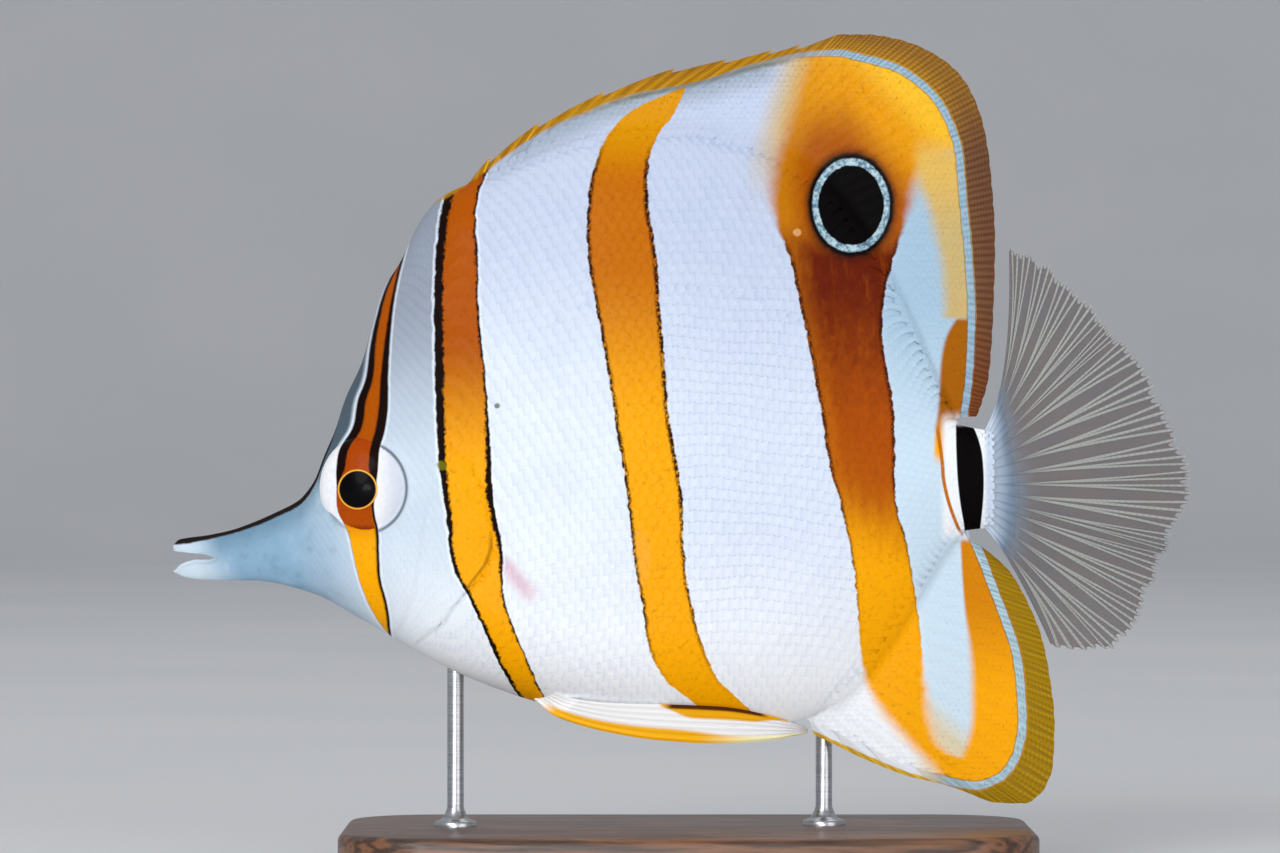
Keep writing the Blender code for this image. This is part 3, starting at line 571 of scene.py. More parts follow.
def new_group(
    name: str, inputs: dict[str, str], outputs: dict[str, str]
) -> tuple[Graph, dict[str, object], bpy.types.Node]:
    """Start a shader node group.

    Args:
        name: Name of the group.
        inputs: Kind of socket for each input, such as Float, Vector or Color.
        outputs: The same for the outputs.

    Returns:
        The group's graph, its inputs by name, with fields for the numbers, and its output node.
    """
    tree = bpy.data.node_groups.new(name, "ShaderNodeTree")
    for way, sockets in (("INPUT", inputs), ("OUTPUT", outputs)):
        for label, kind in sockets.items():
            tree.interface.new_socket(label, in_out=way, socket_type=f"NodeSocket{kind}")
    graph = Graph(tree)
    entry, exit_node = graph.node("NodeGroupInput"), graph.node("NodeGroupOutput")
    given = {
        label: Field(graph, entry.outputs[label]) if kind == "Float" else entry.outputs[label]
        for label, kind in inputs.items()
    }
    return graph, given, exit_node


class Paint:
    """Colour laid on layer by layer over the fish's side view."""

    streak: Triple = (1.0, 1.0, 0.25)

    def __init__(self, graph: Graph, position: Socket) -> None:
        """Start from a place on the fish, with nothing laid yet.

        Args:
            graph: The group's graph.
            position: The place, in metres.
        """
        self.graph = graph
        self.x, self.z = graph.side_view(position)
        self.ragged = graph.noise(position, 620.0, 3.0, 0.65)
        self.speckle = graph.noise(position, 1500.0, 2.0, 0.6)
        self.blotch = graph.noise(position, 95.0, 3.0)
        self.mottle = graph.noise(position, 330.0, 3.0, 0.6)
        self.streaks = graph.noise(graph.stretched(position, self.streak), 600.0, 3.0, 0.6)
        self.colour: object = (0.0, 0.0, 0.0, 1.0)
        self.dark = self.coloured = graph.math("MULTIPLY", 0.0, 0.0)

    def lay(self, mask: Given, colour: object, blend: str = "MIX") -> None:
        """Lay a colour over the ones before, where a mask is 1."""
        self.colour = self.graph.mix(mask, self.colour, colour, blend)

    def behind(self, line: Knots) -> Field:
        """How far the place lies behind an upright line of (height, x) knots."""
        return self.x - self.graph.curve(self.z, line)

    def above(self, line: Knots) -> Field:
        """How far the place lies above a long line of (x, height) knots."""
        half = self.graph.span / 2
        shifted = tuple((place + half, height - half) for place, height in line)
        return self.z - self.graph.curve(self.x + half, shifted) - half

    def away(self, middle_x: float, middle_z: float, reach_x: float, reach_z: float) -> Field:
        """How far the place lies from a middle, as shares of two reaches."""
        off_x, off_z = (self.x - middle_x) * (1.0 / reach_x), (self.z - middle_z) * (1.0 / reach_z)
        return self.graph.length(off_x, off_z)


@dataclass(frozen=True)
class Band:
    """An upright coloured band: its edges as (height, x) knots, and their dark borders, low and high.

    The span of a broken border is four heights: where it starts, is full, starts to fade and ends.
    """

    front: Knots
    rear: Knots
    front_border: Pair
    rear_border: Pair
    high_colour: Colour
    low_colour: Colour
    turn: Pair
    ragged: float = 0.5
    halo: float = 0.0
    bulge: float = 0.0
    widen: Pair = (45.0, 68.0)
    taper: Pair = (110.0, 120.0)
    span: tuple[float, float, float, float] | None = None
    strength: float = 1.0
    top: Pair | None = None
    scorched: bool = False


@dataclass(frozen=True)
class Markings:
    """The fish's colours and bands, which its skin, scales, fins and eyes share."""

    white: Colour = srgb(238, 246, 252)
    belly_white: Colour = srgb(246, 249, 252)
    lavender: Colour = srgb(221, 230, 245)
    nape: Colour = srgb(140, 147, 160)
    high_white: Colour = srgb(192, 203, 226)
    snout_grey: Colour = srgb(136, 172, 198)
    brow_grey: Colour = srgb(56, 74, 88)
    pale_blue: Colour = srgb(162, 194, 214)
    low_blue: Colour = srgb(204, 226, 240)
    line_blue: Colour = srgb(158, 186, 204)
    bright: Colour = srgb(252, 172, 1)
    amber: Colour = srgb(196, 108, 1)
    deep: Colour = srgb(178, 84, 1)
    burnt: Colour = srgb(100, 26, 0)
    scorched: Colour = srgb(174, 78, 1)
    yellow: Colour = srgb(188, 134, 3)
    cream: Colour = srgb(208, 180, 128)
    pink: Colour = srgb(224, 182, 198)
    black: Colour = srgb(4, 2, 3)
    soot: Colour = srgb(22, 8, 5)
    brown: Colour = srgb(46, 16, 6)
    snout_stripe: Knots = (
        (-77.5, 48.2), (-74.7, 48.5), (-72.3, 49.0), (-68.8, 49.8), (-65.4, 50.9), (-61.9, 52.4),
        (-58.5, 54.1), (-57.2, 55.4), (-56.1, 57.2), (-54.8, 60.6), (-53.1, 64.8),
    )
    fringe: Knots = (
        (-38.0, 99.5), (-31.2, 103.9), (-23.4, 109.6), (-16.2, 113.1), (-9.3, 115.8), (-3.9, 117.1),
        (3.6, 118.8), (9.0, 120.4), (18.0, 122.0),
    )
    strip_edge: Knots = ((60.0, 37.0), (64.2, 37.0), (69.1, 37.6), (79.2, 38.7), (84.4, 41.1), (104.0, 39.0))
    gold_edge: Knots = ((82.0, 38.8), (91.0, 38.2), (95.5, 37.2), (99.6, 36.2), (103.8, 34.8), (108.0, 34.4))
    anal_edge: Knots = ((16.0, 41.2), (20.0, 42.6), (26.7, 42.9), (32.7, 42.6), (38.7, 41.8), (50.0, 41.1))
    bar_edges: tuple[Knots, Knots] = (
        ((49.0, 42.0), (50.7, 41.7), (55.9, 40.8), (61.2, 40.4), (68.0, 40.4)),
        ((49.0, 43.9), (50.7, 44.1), (59.7, 44.5), (64.2, 43.8), (68.0, 42.0)),
    )
    thread_line: Knots = ((49.5, 41.6), (51.4, 40.5), (57.7, 38.5), (60.9, 38.2), (65.4, 37.6))
    seam_line: Knots = (
        (33.9, -41.5), (36.3, -36.8), (39.9, -34.6), (43.2, -32.2), (46.2, -30.1), (50.0, -29.4),
    )
    ocellus: Oval = (24.55, 99.5, 4.93, 6.0)
    spots: tuple[tuple[float, float, float, Colour], ...] = (
        (16.4, 95.3, 0.6, srgb(222, 170, 110)), (-28.5, 69.3, 0.45, srgb(70, 82, 40)),
        (-36.8, 60.4, 0.75, srgb(120, 116, 20)),
    )
    pupil: Triple = (-49.4, 56.8, 2.72)

    def bands(self) -> dict[str, Band]:
        """The eye band and the three bands behind it, from front to rear."""
        return {
            "eye": Band(
                (
                    (34.5, -44.6), (37.5, -46.8), (40.9, -48.4), (44.7, -49.6), (48.4, -50.4), (50.7, -51.0),
                    (53.5, -52.4), (57.0, -52.6), (60.5, -52.6), (62.8, -52.2), (66.0, -50.3), (70.2, -49.5),
                    (73.2, -48.4), (78.4, -47.7), (82.6, -46.8), (87.4, -45.3), (92.5, -42.6),
                ),
                (
                    (34.5, -44.6), (39.9, -45.1), (43.0, -45.9), (47.1, -46.2), (50.5, -46.3), (54.0, -46.9),
                    (57.0, -46.6), (60.0, -46.3), (63.0, -46.1), (65.0, -45.5), (68.1, -45.0), (74.5, -44.9),
                    (82.6, -44.4), (86.4, -43.9), (92.5, -42.6),
                ),
                (0.0, 1.45), (0.45, 1.5), self.deep, self.bright, (48.0, 56.0), ragged=0.15, halo=0.5,
                widen=(56.0, 60.5), taper=(64.0, 90.0),
            ),
            "second": Band(
                (
                    (24.0, -24.6), (25.3, -25.3), (29.7, -27.8), (34.2, -29.8), (41.7, -33.3), (44.5, -34.9),
                    (52.9, -36.1), (60.1, -37.2), (67.3, -37.6), (79.2, -37.9), (89.4, -37.9), (94.0, -37.6),
                    (98.7, -37.0), (103.0, -36.0),
                ),
                (
                    (24.0, -20.6), (29.2, -23.2), (32.7, -24.6), (35.8, -25.9), (40.0, -27.3), (49.2, -27.9),
                    (55.3, -29.1), (62.5, -29.5), (72.1, -30.1), (78.4, -30.8), (82.5, -31.2), (91.6, -31.5),
                    (96.3, -31.8), (100.9, -31.5), (103.5, -30.6),
                ),
                (0.6, 1.3), (0.3, 0.35), self.deep, self.bright, (58.0, 80.0), ragged=0.8, halo=0.5,
                bulge=0.6,
            ),
            "third": Band(
                (
                    (22.0, 4.0), (25.5, 0.0), (28.2, -3.3), (32.8, -5.7), (39.4, -6.8), (46.2, -8.1),
                    (55.2, -9.0), (67.2, -10.9), (79.9, -13.0), (89.4, -14.7), (93.9, -15.1), (99.4, -15.0),
                    (105.0, -14.1), (110.4, -11.8), (113.1, -9.3), (116.0, -3.9),
                ),
                (
                    (22.0, 11.0), (25.5, 7.3), (28.2, 4.6), (32.8, 2.4), (39.4, 0.6), (46.2, -0.5),
                    (55.2, -0.9), (69.0, -3.0), (77.2, -3.6), (83.8, -4.2), (91.2, -4.7), (100.2, -6.0),
                    (107.5, -5.5), (110.4, -4.3), (112.8, -2.5), (116.0, -0.9),
                ),
                (0.5, 0.6), (0.5, 0.65), self.amber, self.bright, (64.0, 92.0), ragged=1.0,
                span=(24.0, 40.0, 104.0, 110.0), top=(102.0, 112.0),
            ),
            "fourth": Band(
                (
                    (12.6, 38.2), (15.0, 36.6), (19.0, 32.9), (22.8, 29.7), (26.5, 27.4), (31.8, 26.1),
                    (37.2, 25.6), (45.1, 24.8), (53.4, 23.1), (60.9, 21.1), (70.2, 19.6), (77.2, 18.3),
                    (83.8, 16.9), (91.2, 15.3), (97.8, 13.0), (103.3, 12.6), (110.5, 14.7), (116.1, 16.3),
                    (122.2, 18.0),
                ),
                (
                    (8.0, 79.0), (14.2, 60.0), (15.7, 43.8), (17.8, 38.7), (21.6, 36.9), (26.5, 35.9),
                    (37.2, 34.8), (48.3, 32.9), (54.6, 31.3), (68.4, 30.9), (73.9, 30.1), (80.2, 29.2),
                    (87.8, 30.0), (93.8, 31.8), (98.4, 33.2), (103.2, 34.4), (106.2, 36.5), (109.0, 44.0),
                    (112.0, 79.0),
                ),
                (0.3, 0.62), (0.25, 0.55), self.amber, self.bright, (44.0, 60.0), ragged=1.0,
                span=(30.0, 46.0, 90.0, 98.0), strength=0.9, scorched=True,
            ),
        }

    def lay_ground(self, paint: Paint) -> None:
        """Lay the whites, blues and greys that lie under the bands."""
        graph, x, z, bands = paint.graph, paint.x, paint.z, self.bands()
        cool = (paint.blotch.ease(-0.25, 0.25) * 0.5).high(x.ease(-24.0, 6.0))
        paint.colour = graph.mix(cool, self.white, self.lavender)
        paint.lay(z.ease(60.0, 100.0) * 0.85, self.high_white)
        ahead = paint.behind(bands["second"].front).ease(-0.6, 0.2).rest()
        paint.lay(ahead * 0.35, self.snout_grey)
        paint.lay(z.ease(58.0, 88.0) * ahead * (paint.blotch.ease(-0.2, 0.4) * -0.15 + 0.9), self.nape)
        paint.lay(z.ease(26.0, 56.0).rest(), self.belly_white)
        face = (x + z * 0.3).ease(-48.0, -28.0).rest()
        paint.lay(face, self.snout_grey)
        paint.lay(face * paint.mottle.ease(0.0, 0.3) * 0.3, self.brow_grey)
        paint.lay(face * paint.mottle.ease(-0.3, 0.0).rest() * 0.4, self.high_white)
        lips = (x + z * 0.6).ease(-48.0, -40.0).rest()
        paint.lay(lips * 0.6, self.white)
        brow = paint.behind(bands["eye"].front).ease(-0.9, -0.3).rest() * z.ease(55.0, 62.0)
        paint.lay(brow * 0.9, self.brow_grey)
        pale = graph.mix(z.ease(60.0, 88.0), self.low_blue, self.pale_blue)
        paint.lay(paint.behind(bands["fourth"].rear).ease(-1.5, 1.0) * 0.9, pale)
        paint.lay(paint.behind(bands["fourth"].front).ease(-5.5, -0.5) * z.ease(97.0, 113.0), self.cream)
        flush = ((x + 25.7) * 0.764 + (z - 43.6) * 0.645).off().ease(0.2, 2.0).rest()
        flush = flush * ((x + 25.7) * 0.645 - (z - 43.6) * 0.764).off().ease(2.0, 5.5).rest()
        paint.lay(flush * 0.7, self.pink)

    def scorch(self, paint: Paint, fill: Socket, from_front: Field) -> Socket:
        """Turn the fourth band burnt along its middle and yellow at its crown.

        Args:
            paint: What is laid so far.
            fill: The band's own colour.
            from_front: The way from its front edge.

        Returns:
            The band's new colour.
        """
        graph, x, z, ragged, streaks = paint.graph, paint.x, paint.z, paint.ragged, paint.streaks
        height = z + (x - 24.0).high(0.0) * 1.1 + ragged * 1.5
        crown = graph.mix(height.ease(108.0, 119.0), srgb(172, 86, 1), srgb(230, 154, 4))
        crown = graph.mix(height.ease(119.0, 127.0), crown, srgb(246, 190, 44))
        crown = graph.mix(from_front.ease(1.4, 5.4).rest() * 0.5, crown, srgb(214, 142, 8))
        in_crown = (z + ragged * 3.0).ease(91.0, 98.0)
        fill = graph.mix(in_crown, fill, crown)
        scorch = (z + streaks * 14.0 + x * 0.4).ease(56.0, 76.0) * in_crown.rest()
        middle = (from_front + streaks * 5.0).ease(-0.6, 3.6) * 0.6 + 0.4
        burnt = graph.mix((z + ragged * 16.0).ease(62.0, 90.0), self.scorched, self.burnt)
        fill = graph.mix(scorch * middle, fill, burnt)
        fill = graph.mix(scorch * streaks.ease(0.0, 0.35) * 0.45, fill, srgb(186, 92, 4))
        rust = z.ease(60.0, 74.0) * scorch.rest() * z.ease(88.0, 96.0).rest()
        return graph.mix(rust * 0.6, fill, self.deep)

    def border(self, paint: Paint, band: Band, from_front: Field, from_rear: Field) -> Field:
        """Mask of a band's dark borders.

        Args:
            paint: What is laid so far.
            band: The band.
            from_front: The way from its front edge.
            from_rear: The way from its rear edge.

        Returns:
            The mask, 1 on the borders.
        """
        z, speckle = paint.z, paint.speckle
        border = paint.graph.math("MULTIPLY", 0.0, 0.0)
        for distance, (low, high) in ((from_front, band.front_border), (from_rear, band.rear_border)):
            width = z.ease(*band.widen) * (high - low) + low
            if distance is from_rear:
                width = width + z.near(56.0, 17.0) * band.bulge
            width = width * (z.ease(*band.taper) * -0.75 + 1.0)
            depth = distance + speckle * band.ragged * 1.3
            border = border.high((depth - width).ease(-0.22, 0.22).rest())
        if band.span:
            start, full, fading, end = band.span
            dashes = (speckle + paint.ragged * 0.4).ease(-0.16, 0.02) * 0.75 + 0.25
            border = border * dashes * z.ease(fading, end).rest() * (z.ease(start, full) * band.strength)
        return border

    def lay_band(self, paint: Paint, band: Band) -> None:
        """Lay one band with its borders and the white line beside them."""
        graph, z, ragged = paint.graph, paint.z, paint.ragged * band.ragged
        from_front = paint.behind(band.front) + ragged
        from_rear = graph.curve(z, band.rear) - paint.x + ragged
        inside = from_front.low(from_rear)
        mask = inside.ease(-0.12, 0.12)
        if band.halo:
            rim = inside.ease(-0.5, -0.3) * inside.ease(-0.18, -0.06).rest()
            paint.lay(rim * band.halo, self.belly_white)
        fill = graph.mix(z.ease(*band.turn), band.low_colour, band.high_colour)
        if band.top:
            fill = graph.mix(z.ease(*band.top), fill, srgb(222, 150, 1))
        if band.scorched:
            soft = z.ease(92.0, 104.0).high(z.ease(20.0, 34.0).rest()) * 1.7 + 0.12
            mask = inside.ease(soft * -1.0, soft)
            fill = self.scorch(paint, fill, from_front)
        fill = graph.mix(paint.speckle.ease(0.0, 0.35) * 0.3, fill, self.burnt)
        border = self.border(paint, band, from_front, from_rear)
        paint.lay(mask, graph.mix(border, fill, self.brown if band.span else self.soot))
        paint.dark = paint.dark.high(mask * border)
        paint.coloured = paint.coloured.high(mask)

    def lay_fins(self, paint: Paint) -> None:
        """Lay the patches of the dorsal and the anal fin, and the yellow fringe of the spines."""
        graph, x, z, ragged = paint.graph, paint.x, paint.z, paint.ragged
        strip = paint.behind(self.strip_edge).ease(-0.3, 0.5) * z.ease(60.0, 62.5)
        rust = graph.mix(z.ease(63.0, 69.0), self.bright, srgb(168, 96, 2))
        paint.lay(strip * z.ease(82.0, 83.2).rest(), rust)
        gold = (paint.behind(self.gold_edge) + ragged).ease(-1.3, 1.3)
        gold = gold * z.ease(82.0, 83.0) * z.ease(106.0, 111.0).rest()
        paint.lay(gold, graph.mix(z.ease(94.0, 106.0), srgb(204, 178, 118), srgb(226, 184, 92)))
        soft = z.ease(28.0, 42.0).rest() * 0.6 + 0.25
        anal = paint.behind(self.anal_edge).ease(soft * -1.0, soft) * z.ease(48.5, 50.0).rest()
        foot = (z + x * 0.9).ease(53.5, 60.0).rest() * x.ease(33.0, 38.0)
        paint.lay(foot * paint.coloured.rest() * 0.8, srgb(232, 208, 150))
        paint.lay(anal, graph.mix(z.ease(24.0, 42.0), self.bright, srgb(214, 132, 1)))
        fringe = paint.above(self.fringe)
        under = fringe.ease(-5.0, -0.6) * x.ease(-34.0, -20.0) * x.ease(11.0, 15.0).rest()
        paint.lay(under * paint.coloured.rest() * 0.75, srgb(146, 160, 172))
        under = fringe.near(-0.3, 0.7) * x.ease(-20.0, -8.0) * x.ease(14.0, 17.0).rest()
        paint.lay(under * 0.75, srgb(112, 114, 84))
        fringe = (fringe + ragged * 0.8).ease(-0.3, 0.5) * x.ease(17.0, 19.0).rest() * x.ease(-39.0, -36.0)
        paint.lay(fringe, self.yellow)
        paint.coloured = paint.coloured.high(strip.high(anal).high(fringe))

    def lay_false_eye(self, paint: Paint) -> None:
        """Lay the ringed black spot on the dorsal fin, and the few loose spots."""
        off = (paint.away(*self.ocellus) - 1.0) * self.ocellus[2] + paint.ragged * 0.45
        paint.lay(off.ease(1.1, 2.8).rest() * 0.8, self.brown)
        paint.lay(off.ease(1.2, 1.8).rest(), self.black)
        grains = (paint.speckle * 1.5 + paint.ragged).ease(-0.25, 0.25)
        ring = paint.graph.mix(grains, srgb(88, 124, 146), srgb(188, 212, 220))
        paint.lay(off.ease(0.78, 1.05).rest(), ring)
        paint.lay(off.ease(-0.08, 0.12).rest(), self.black)
        paint.dark = paint.dark.high(off.ease(-0.1, 0.1).rest())
        for x, z, reach, colour in self.spots:
            spot = paint.away(x, z, reach, reach) + paint.ragged
            paint.lay(spot.ease(0.7, 1.2).rest() * 0.8, colour)

    def lay_snout(self, paint: Paint) -> None:
        """Lay the dark stripe along the top of the snout, and the shade under it."""
        x, above = paint.x, paint.above(self.snout_stripe)
        shade = above.ease(-4.5, 0.0) * x.ease(-58.0, -52.0).rest() * x.ease(-74.0, -70.0)
        paint.lay(shade * 0.6, srgb(96, 128, 150))
        stripe = (above + paint.ragged * 0.4).ease(0.0, 0.35) * x.ease(-54.0, -52.4).rest()
        paint.lay(stripe, srgb(34, 24, 20))
        paint.dark = paint.dark.high(stripe)

    def lay_tail_base(self, paint: Paint) -> None:
        """Lay the white tail base with its black bar and its thin orange thread."""
        graph, x, z = paint.graph, paint.x, paint.z
        tail = (x - 38.4).ease(-0.8, 0.6) * z.ease(48.5, 50.5) * z.ease(66.0, 69.0).rest()
        paint.lay(tail, self.belly_white)
        paint.lay(tail * x.ease(44.4, 45.4), srgb(206, 219, 235))
        thread = paint.behind(self.thread_line).off().ease(0.15, 0.4).rest()
        paint.lay(thread * z.ease(49.5, 51.0) * z.ease(65.0, 67.0).rest(), self.amber)
        front, rear = self.bar_edges
        bar = paint.behind(front).low(graph.curve(z, rear) - x).ease(-0.1, 0.1)
        bar = bar * z.ease(49.8, 50.6) * z.ease(66.0, 67.0).rest()
        paint.lay(bar, self.black)
        paint.dark = paint.dark.high(bar)

    def lay_seam_shadows(self, paint: Paint, orbit: Oval) -> None:
        """Lay the thin shadows behind the gill cover and around the eye."""
        x, z = paint.x, paint.z
        # Painted shadow in the crease behind the gill cover: lavender multiplied in on pale skin, brown on
        # the bands.
        gill_shadow = paint.behind(self.seam_line).off().ease(0.1, 0.45).rest()
        gill_shadow = gill_shadow * z.ease(34.0, 36.0) * z.ease(46.0, 53.0).rest()
        paint.lay(gill_shadow * paint.coloured.rest() * 0.35, self.lavender, "MULTIPLY")
        paint.lay(gill_shadow * paint.coloured * 0.45, self.brown)
        # Painted shadow in the groove around the eye, stronger on its rear side.
        rim = ((paint.away(*orbit) - 1.0) * orbit[3]).near(0.25, 0.45)
        paint.lay(rim * paint.coloured.rest() * (x.ease(-50.0, -44.0) * 0.45 + 0.4), srgb(70, 70, 84))

    def build(self) -> Tree:
        """Make the group that gives the fish's colour, its dark parts and its coloured ones from a place."""
        graph, given, exit_node = new_group(
            "fish_markings", {"Position": "Vector"}, {"Color": "Color", "Dark": "Float", "Colored": "Float"}
        )
        paint = Paint(graph, given["Position"])
        self.lay_ground(paint)
        for band in self.bands().values():
            self.lay_band(paint, band)
        self.lay_fins(paint)
        self.lay_false_eye(paint)
        self.lay_snout(paint)
        self.lay_tail_base(paint)
        self.lay_seam_shadows(paint, BodyForm.orbit)
        graph.give(exit_node, Color=paint.colour, Dark=paint.dark, Colored=paint.coloured)
        return graph.tree


def rim_group(colours: Markings) -> Tree:
    """Make the group that lays the blue line and the thin outer rim over a fin's markings.

    Args:
        colours: The fish's colours.

    Returns:
        The group. Its Line input is the way from the blue line's middle, above zero outside it.
    """
    graph, given, exit_node = new_group(
        "rim_markings",
        {"Color": "Color", "Position": "Vector", "Line": "Float", "Stripe": "Float"},
        {"Color": "Color", "Outside": "Float"},
    )
    x, z = graph.side_view(given["Position"])
    line = given["Line"] + graph.noise(given["Position"], 700.0) * 0.3
    ahead = x.ease(9.0, 26.0) * z.ease(24.0, 30.0).high(x.ease(34.0, 40.0))
    width = ahead * 0.34 + z.ease(50.0, 56.0).rest() * 0.08 + 0.22
    outside = (line - width).ease(0.0, 0.3)
    rim = graph.mix(z.ease(106.0, 121.0), srgb(124, 84, 54), srgb(184, 132, 36))
    rim = graph.mix(z.ease(66.0, 88.0).rest(), rim, srgb(132, 70, 28))
    rim = graph.mix(x.ease(8.0, 26.0).rest(), rim, srgb(200, 142, 4))
    rim = graph.mix(z.ease(50.0, 56.0).rest(), rim, srgb(178, 140, 8))
    rim = graph.mix(z.ease(50.0, 56.0).rest() * x.ease(33.0, 46.0).rest(), rim, srgb(244, 196, 50))
    rim = graph.mix(line.ease(0.8, 3.2) * z.ease(60.0, 70.0) * 0.35, rim, srgb(96, 62, 48))
    stripe = given["Stripe"].ease(0.1, 0.9)
    rim = graph.mix(stripe.rest() * 0.4, rim, srgb(150, 108, 84), "MULTIPLY")
    colour = graph.mix(outside, given["Color"], rim)
    edge = (line.off() - width).off().ease(0.0, 0.25).rest() * ahead
    colour = graph.mix(edge * 0.6, colour, srgb(104, 80, 66))
    paint = graph.mix(ahead, srgb(138, 142, 146), colours.line_blue)
    paint = graph.mix(ahead * z.ease(44.0, 60.0).rest(), paint, srgb(182, 208, 216))
    paint = graph.mix(stripe.rest() * ahead * 0.4, paint, srgb(112, 148, 172))
    body = (line.off() - width).ease(-0.12, 0.06).rest() * (ahead * 0.4 + 0.6) * x.ease(-10.0, 4.0)
    colour = graph.mix(body * ahead.high(z.ease(60.0, 70.0)), colour, paint)
    graph.give(exit_node, Color=colour, Outside=outside)
    return graph.tree


def ray_group() -> Tree:
    """Make the group that marks a fin's branched rays and their joints from shares across and along it."""
    inputs = dict.fromkeys(("Across", "Along", "Count", "Start", "Fork", "Width"), "Float")
    graph, given, exit_node = new_group("fin_rays", inputs, {"Ray": "Float", "Joint": "Float"})
    phase = graph.math("FRACT", given["Across"] * given["Count"] + 0.5 - given["Start"]) - 0.5
    split = graph.math("DIVIDE", given["Along"] - given["Fork"], graph.math("SUBTRACT", 1.0, given["Fork"]))
    split = split.high(0.0)
    first = (phase.off() - split * 0.25).off()
    second = (first - split * split * 0.12).off()
    width = given["Width"] * (given["Along"] * -0.45 + 1.0)
    ray = graph.math("DIVIDE", second, width).ease(0.55, 1.0).rest()
    number = graph.math("FLOOR", given["Across"] * given["Count"])
    joint = graph.math("FRACT", given["Along"] * 46.0 + number * 0.37)
    joint = (joint - 0.5).off().ease(0.0, 0.2).rest() * ray * given["Along"].ease(0.3, 0.5)
    graph.give(exit_node, Ray=ray, Joint=joint)
    return graph.tree


def grain_group() -> Tree:
    """Make the group that gives fine and coarse grain as a height."""
    graph, given, exit_node = new_group(
        "fine_grain", {"Position": "Vector", "Scale": "Float"}, {"Height": "Float"}
    )
    heights = []
    for share, detail in ((1.0, 3.0), (0.22, 2.0)):
        node = graph.node("ShaderNodeTexNoise")
        graph.give(node, Vector=given["Position"], Scale=given["Scale"] * share, Detail=detail)
        heights.append(Field(graph, node.outputs["Fac"]))
    graph.give(exit_node, Height=heights[0] * 0.4 + heights[1] * 0.6)
    return graph.tree


@dataclass(frozen=True)
class Palette:
    """Node groups that more than one finish uses."""

    markings: Tree
    rim: Tree
    rays: Tree
    grain: Tree


def start_material(
    name: str, roughness: float, **settings: float
) -> tuple[Material, Graph, bpy.types.Node, Socket]:
    """Make a material with its shader's plain values set.

    Args:
        name: Name of the material.
        roughness: Its roughness.
        settings: Other sockets of the Principled shader by name, with _ for each blank.

    Returns:
        The material, its graph, its shader and the place on the object.
    """
    material = bpy.data.materials.new(name)
    material.use_nodes = True
    graph = Graph(material.node_tree)
    shader = material.node_tree.nodes["Principled BSDF"]
    graph.give(shader, Roughness=roughness, **settings)
    return material, graph, shader, graph.node("ShaderNodeTexCoord").outputs["Object"]


def add_bump(graph: Graph, shader: bpy.types.Node, height: Field, depth_mm: float) -> None:
    """Give a shader a bump of a real depth from a height of 0 to 1."""
    bump = graph.node("ShaderNodeBump")
    graph.give(bump, Distance=depth_mm * MM, Height=height)
    graph.give(shader, Normal=bump.outputs["Normal"])


@dataclass(frozen=True)
class SkinFinish:
    """Fish skin with the markings, bare or as scales, with the blue line where it lies on a fin."""

    name: str
    roughness: float = 0.42
    coat: float = 0.03
    scaled: bool = False
    on_fin: bool = False
    contrast: float = 1.0
    shade: Colour = srgb(160, 176, 212)

    def build(self, palette: Palette) -> Material:
        """Make the material."""
        material, graph, shader, position = start_material(
            self.name, self.roughness, Coat_Roughness=0.25, Specular_IOR_Level=0.05
        )
        marks = graph.group(palette.markings, position=position)
        colour = marks.outputs["Color"]
        if self.on_fin:
            rim = graph.group(
                palette.rim, color=colour, position=position, line=graph.read("blue_line"), stripe=0.7
            )
            colour = rim.outputs["Color"]
        dark = Field(graph, marks.outputs["Dark"])
        plain = Field(graph, marks.outputs["Colored"]).rest() * dark.rest() * self.contrast
        pale = plain * 0.8 + dark.rest() * (self.contrast * 0.2)
        if self.scaled:
            tip, edge, tone = graph.read("scale_tip"), graph.read("scale_edge"), graph.read("scale_tone")
            x, z = graph.side_view(position)
            # Painted shade: each scale darkens at its root, under the tip of the scale ahead, and along its
            # upper and lower edges. The rows mask makes the edge shade strongest on the middle of the flank.
            rows = x.ease(-12.0, 2.0) * z.ease(28.0, 40.0) * z.ease(78.0, 92.0).rest() * 0.5 + 0.5
            rows = rows * (graph.noise(position, 130.0) + 0.75).low(1.0)
            pale = pale * (x.ease(24.0, 30.0).rest() * 0.5 + 0.5)
            shade = (tip.ease(0.3, 0.75).rest() * 0.35).high(edge.ease(0.45, 0.95) * rows * 0.8)
            colour = graph.mix(shade * pale, colour, self.shade, "MULTIPLY")
            # Painted highlight: the free rear tips of the scales on pale skin turn near white.
            colour = graph.mix(tip.ease(0.84, 0.97) * plain * 0.3, colour, srgb(252, 253, 255))
            colour = graph.mix(tone * pale * 0.12, colour, self.shade, "MULTIPLY")
        roughness = dark * 0.15 + self.roughness
        graph.give(shader, Base_Color=colour, Roughness=roughness, Coat_Weight=dark.rest() * self.coat)
        grain = graph.group(palette.grain, position=position, scale=2600.0)
        add_bump(graph, shader, Field(graph, grain.outputs["Height"]), 0.05)
        return material


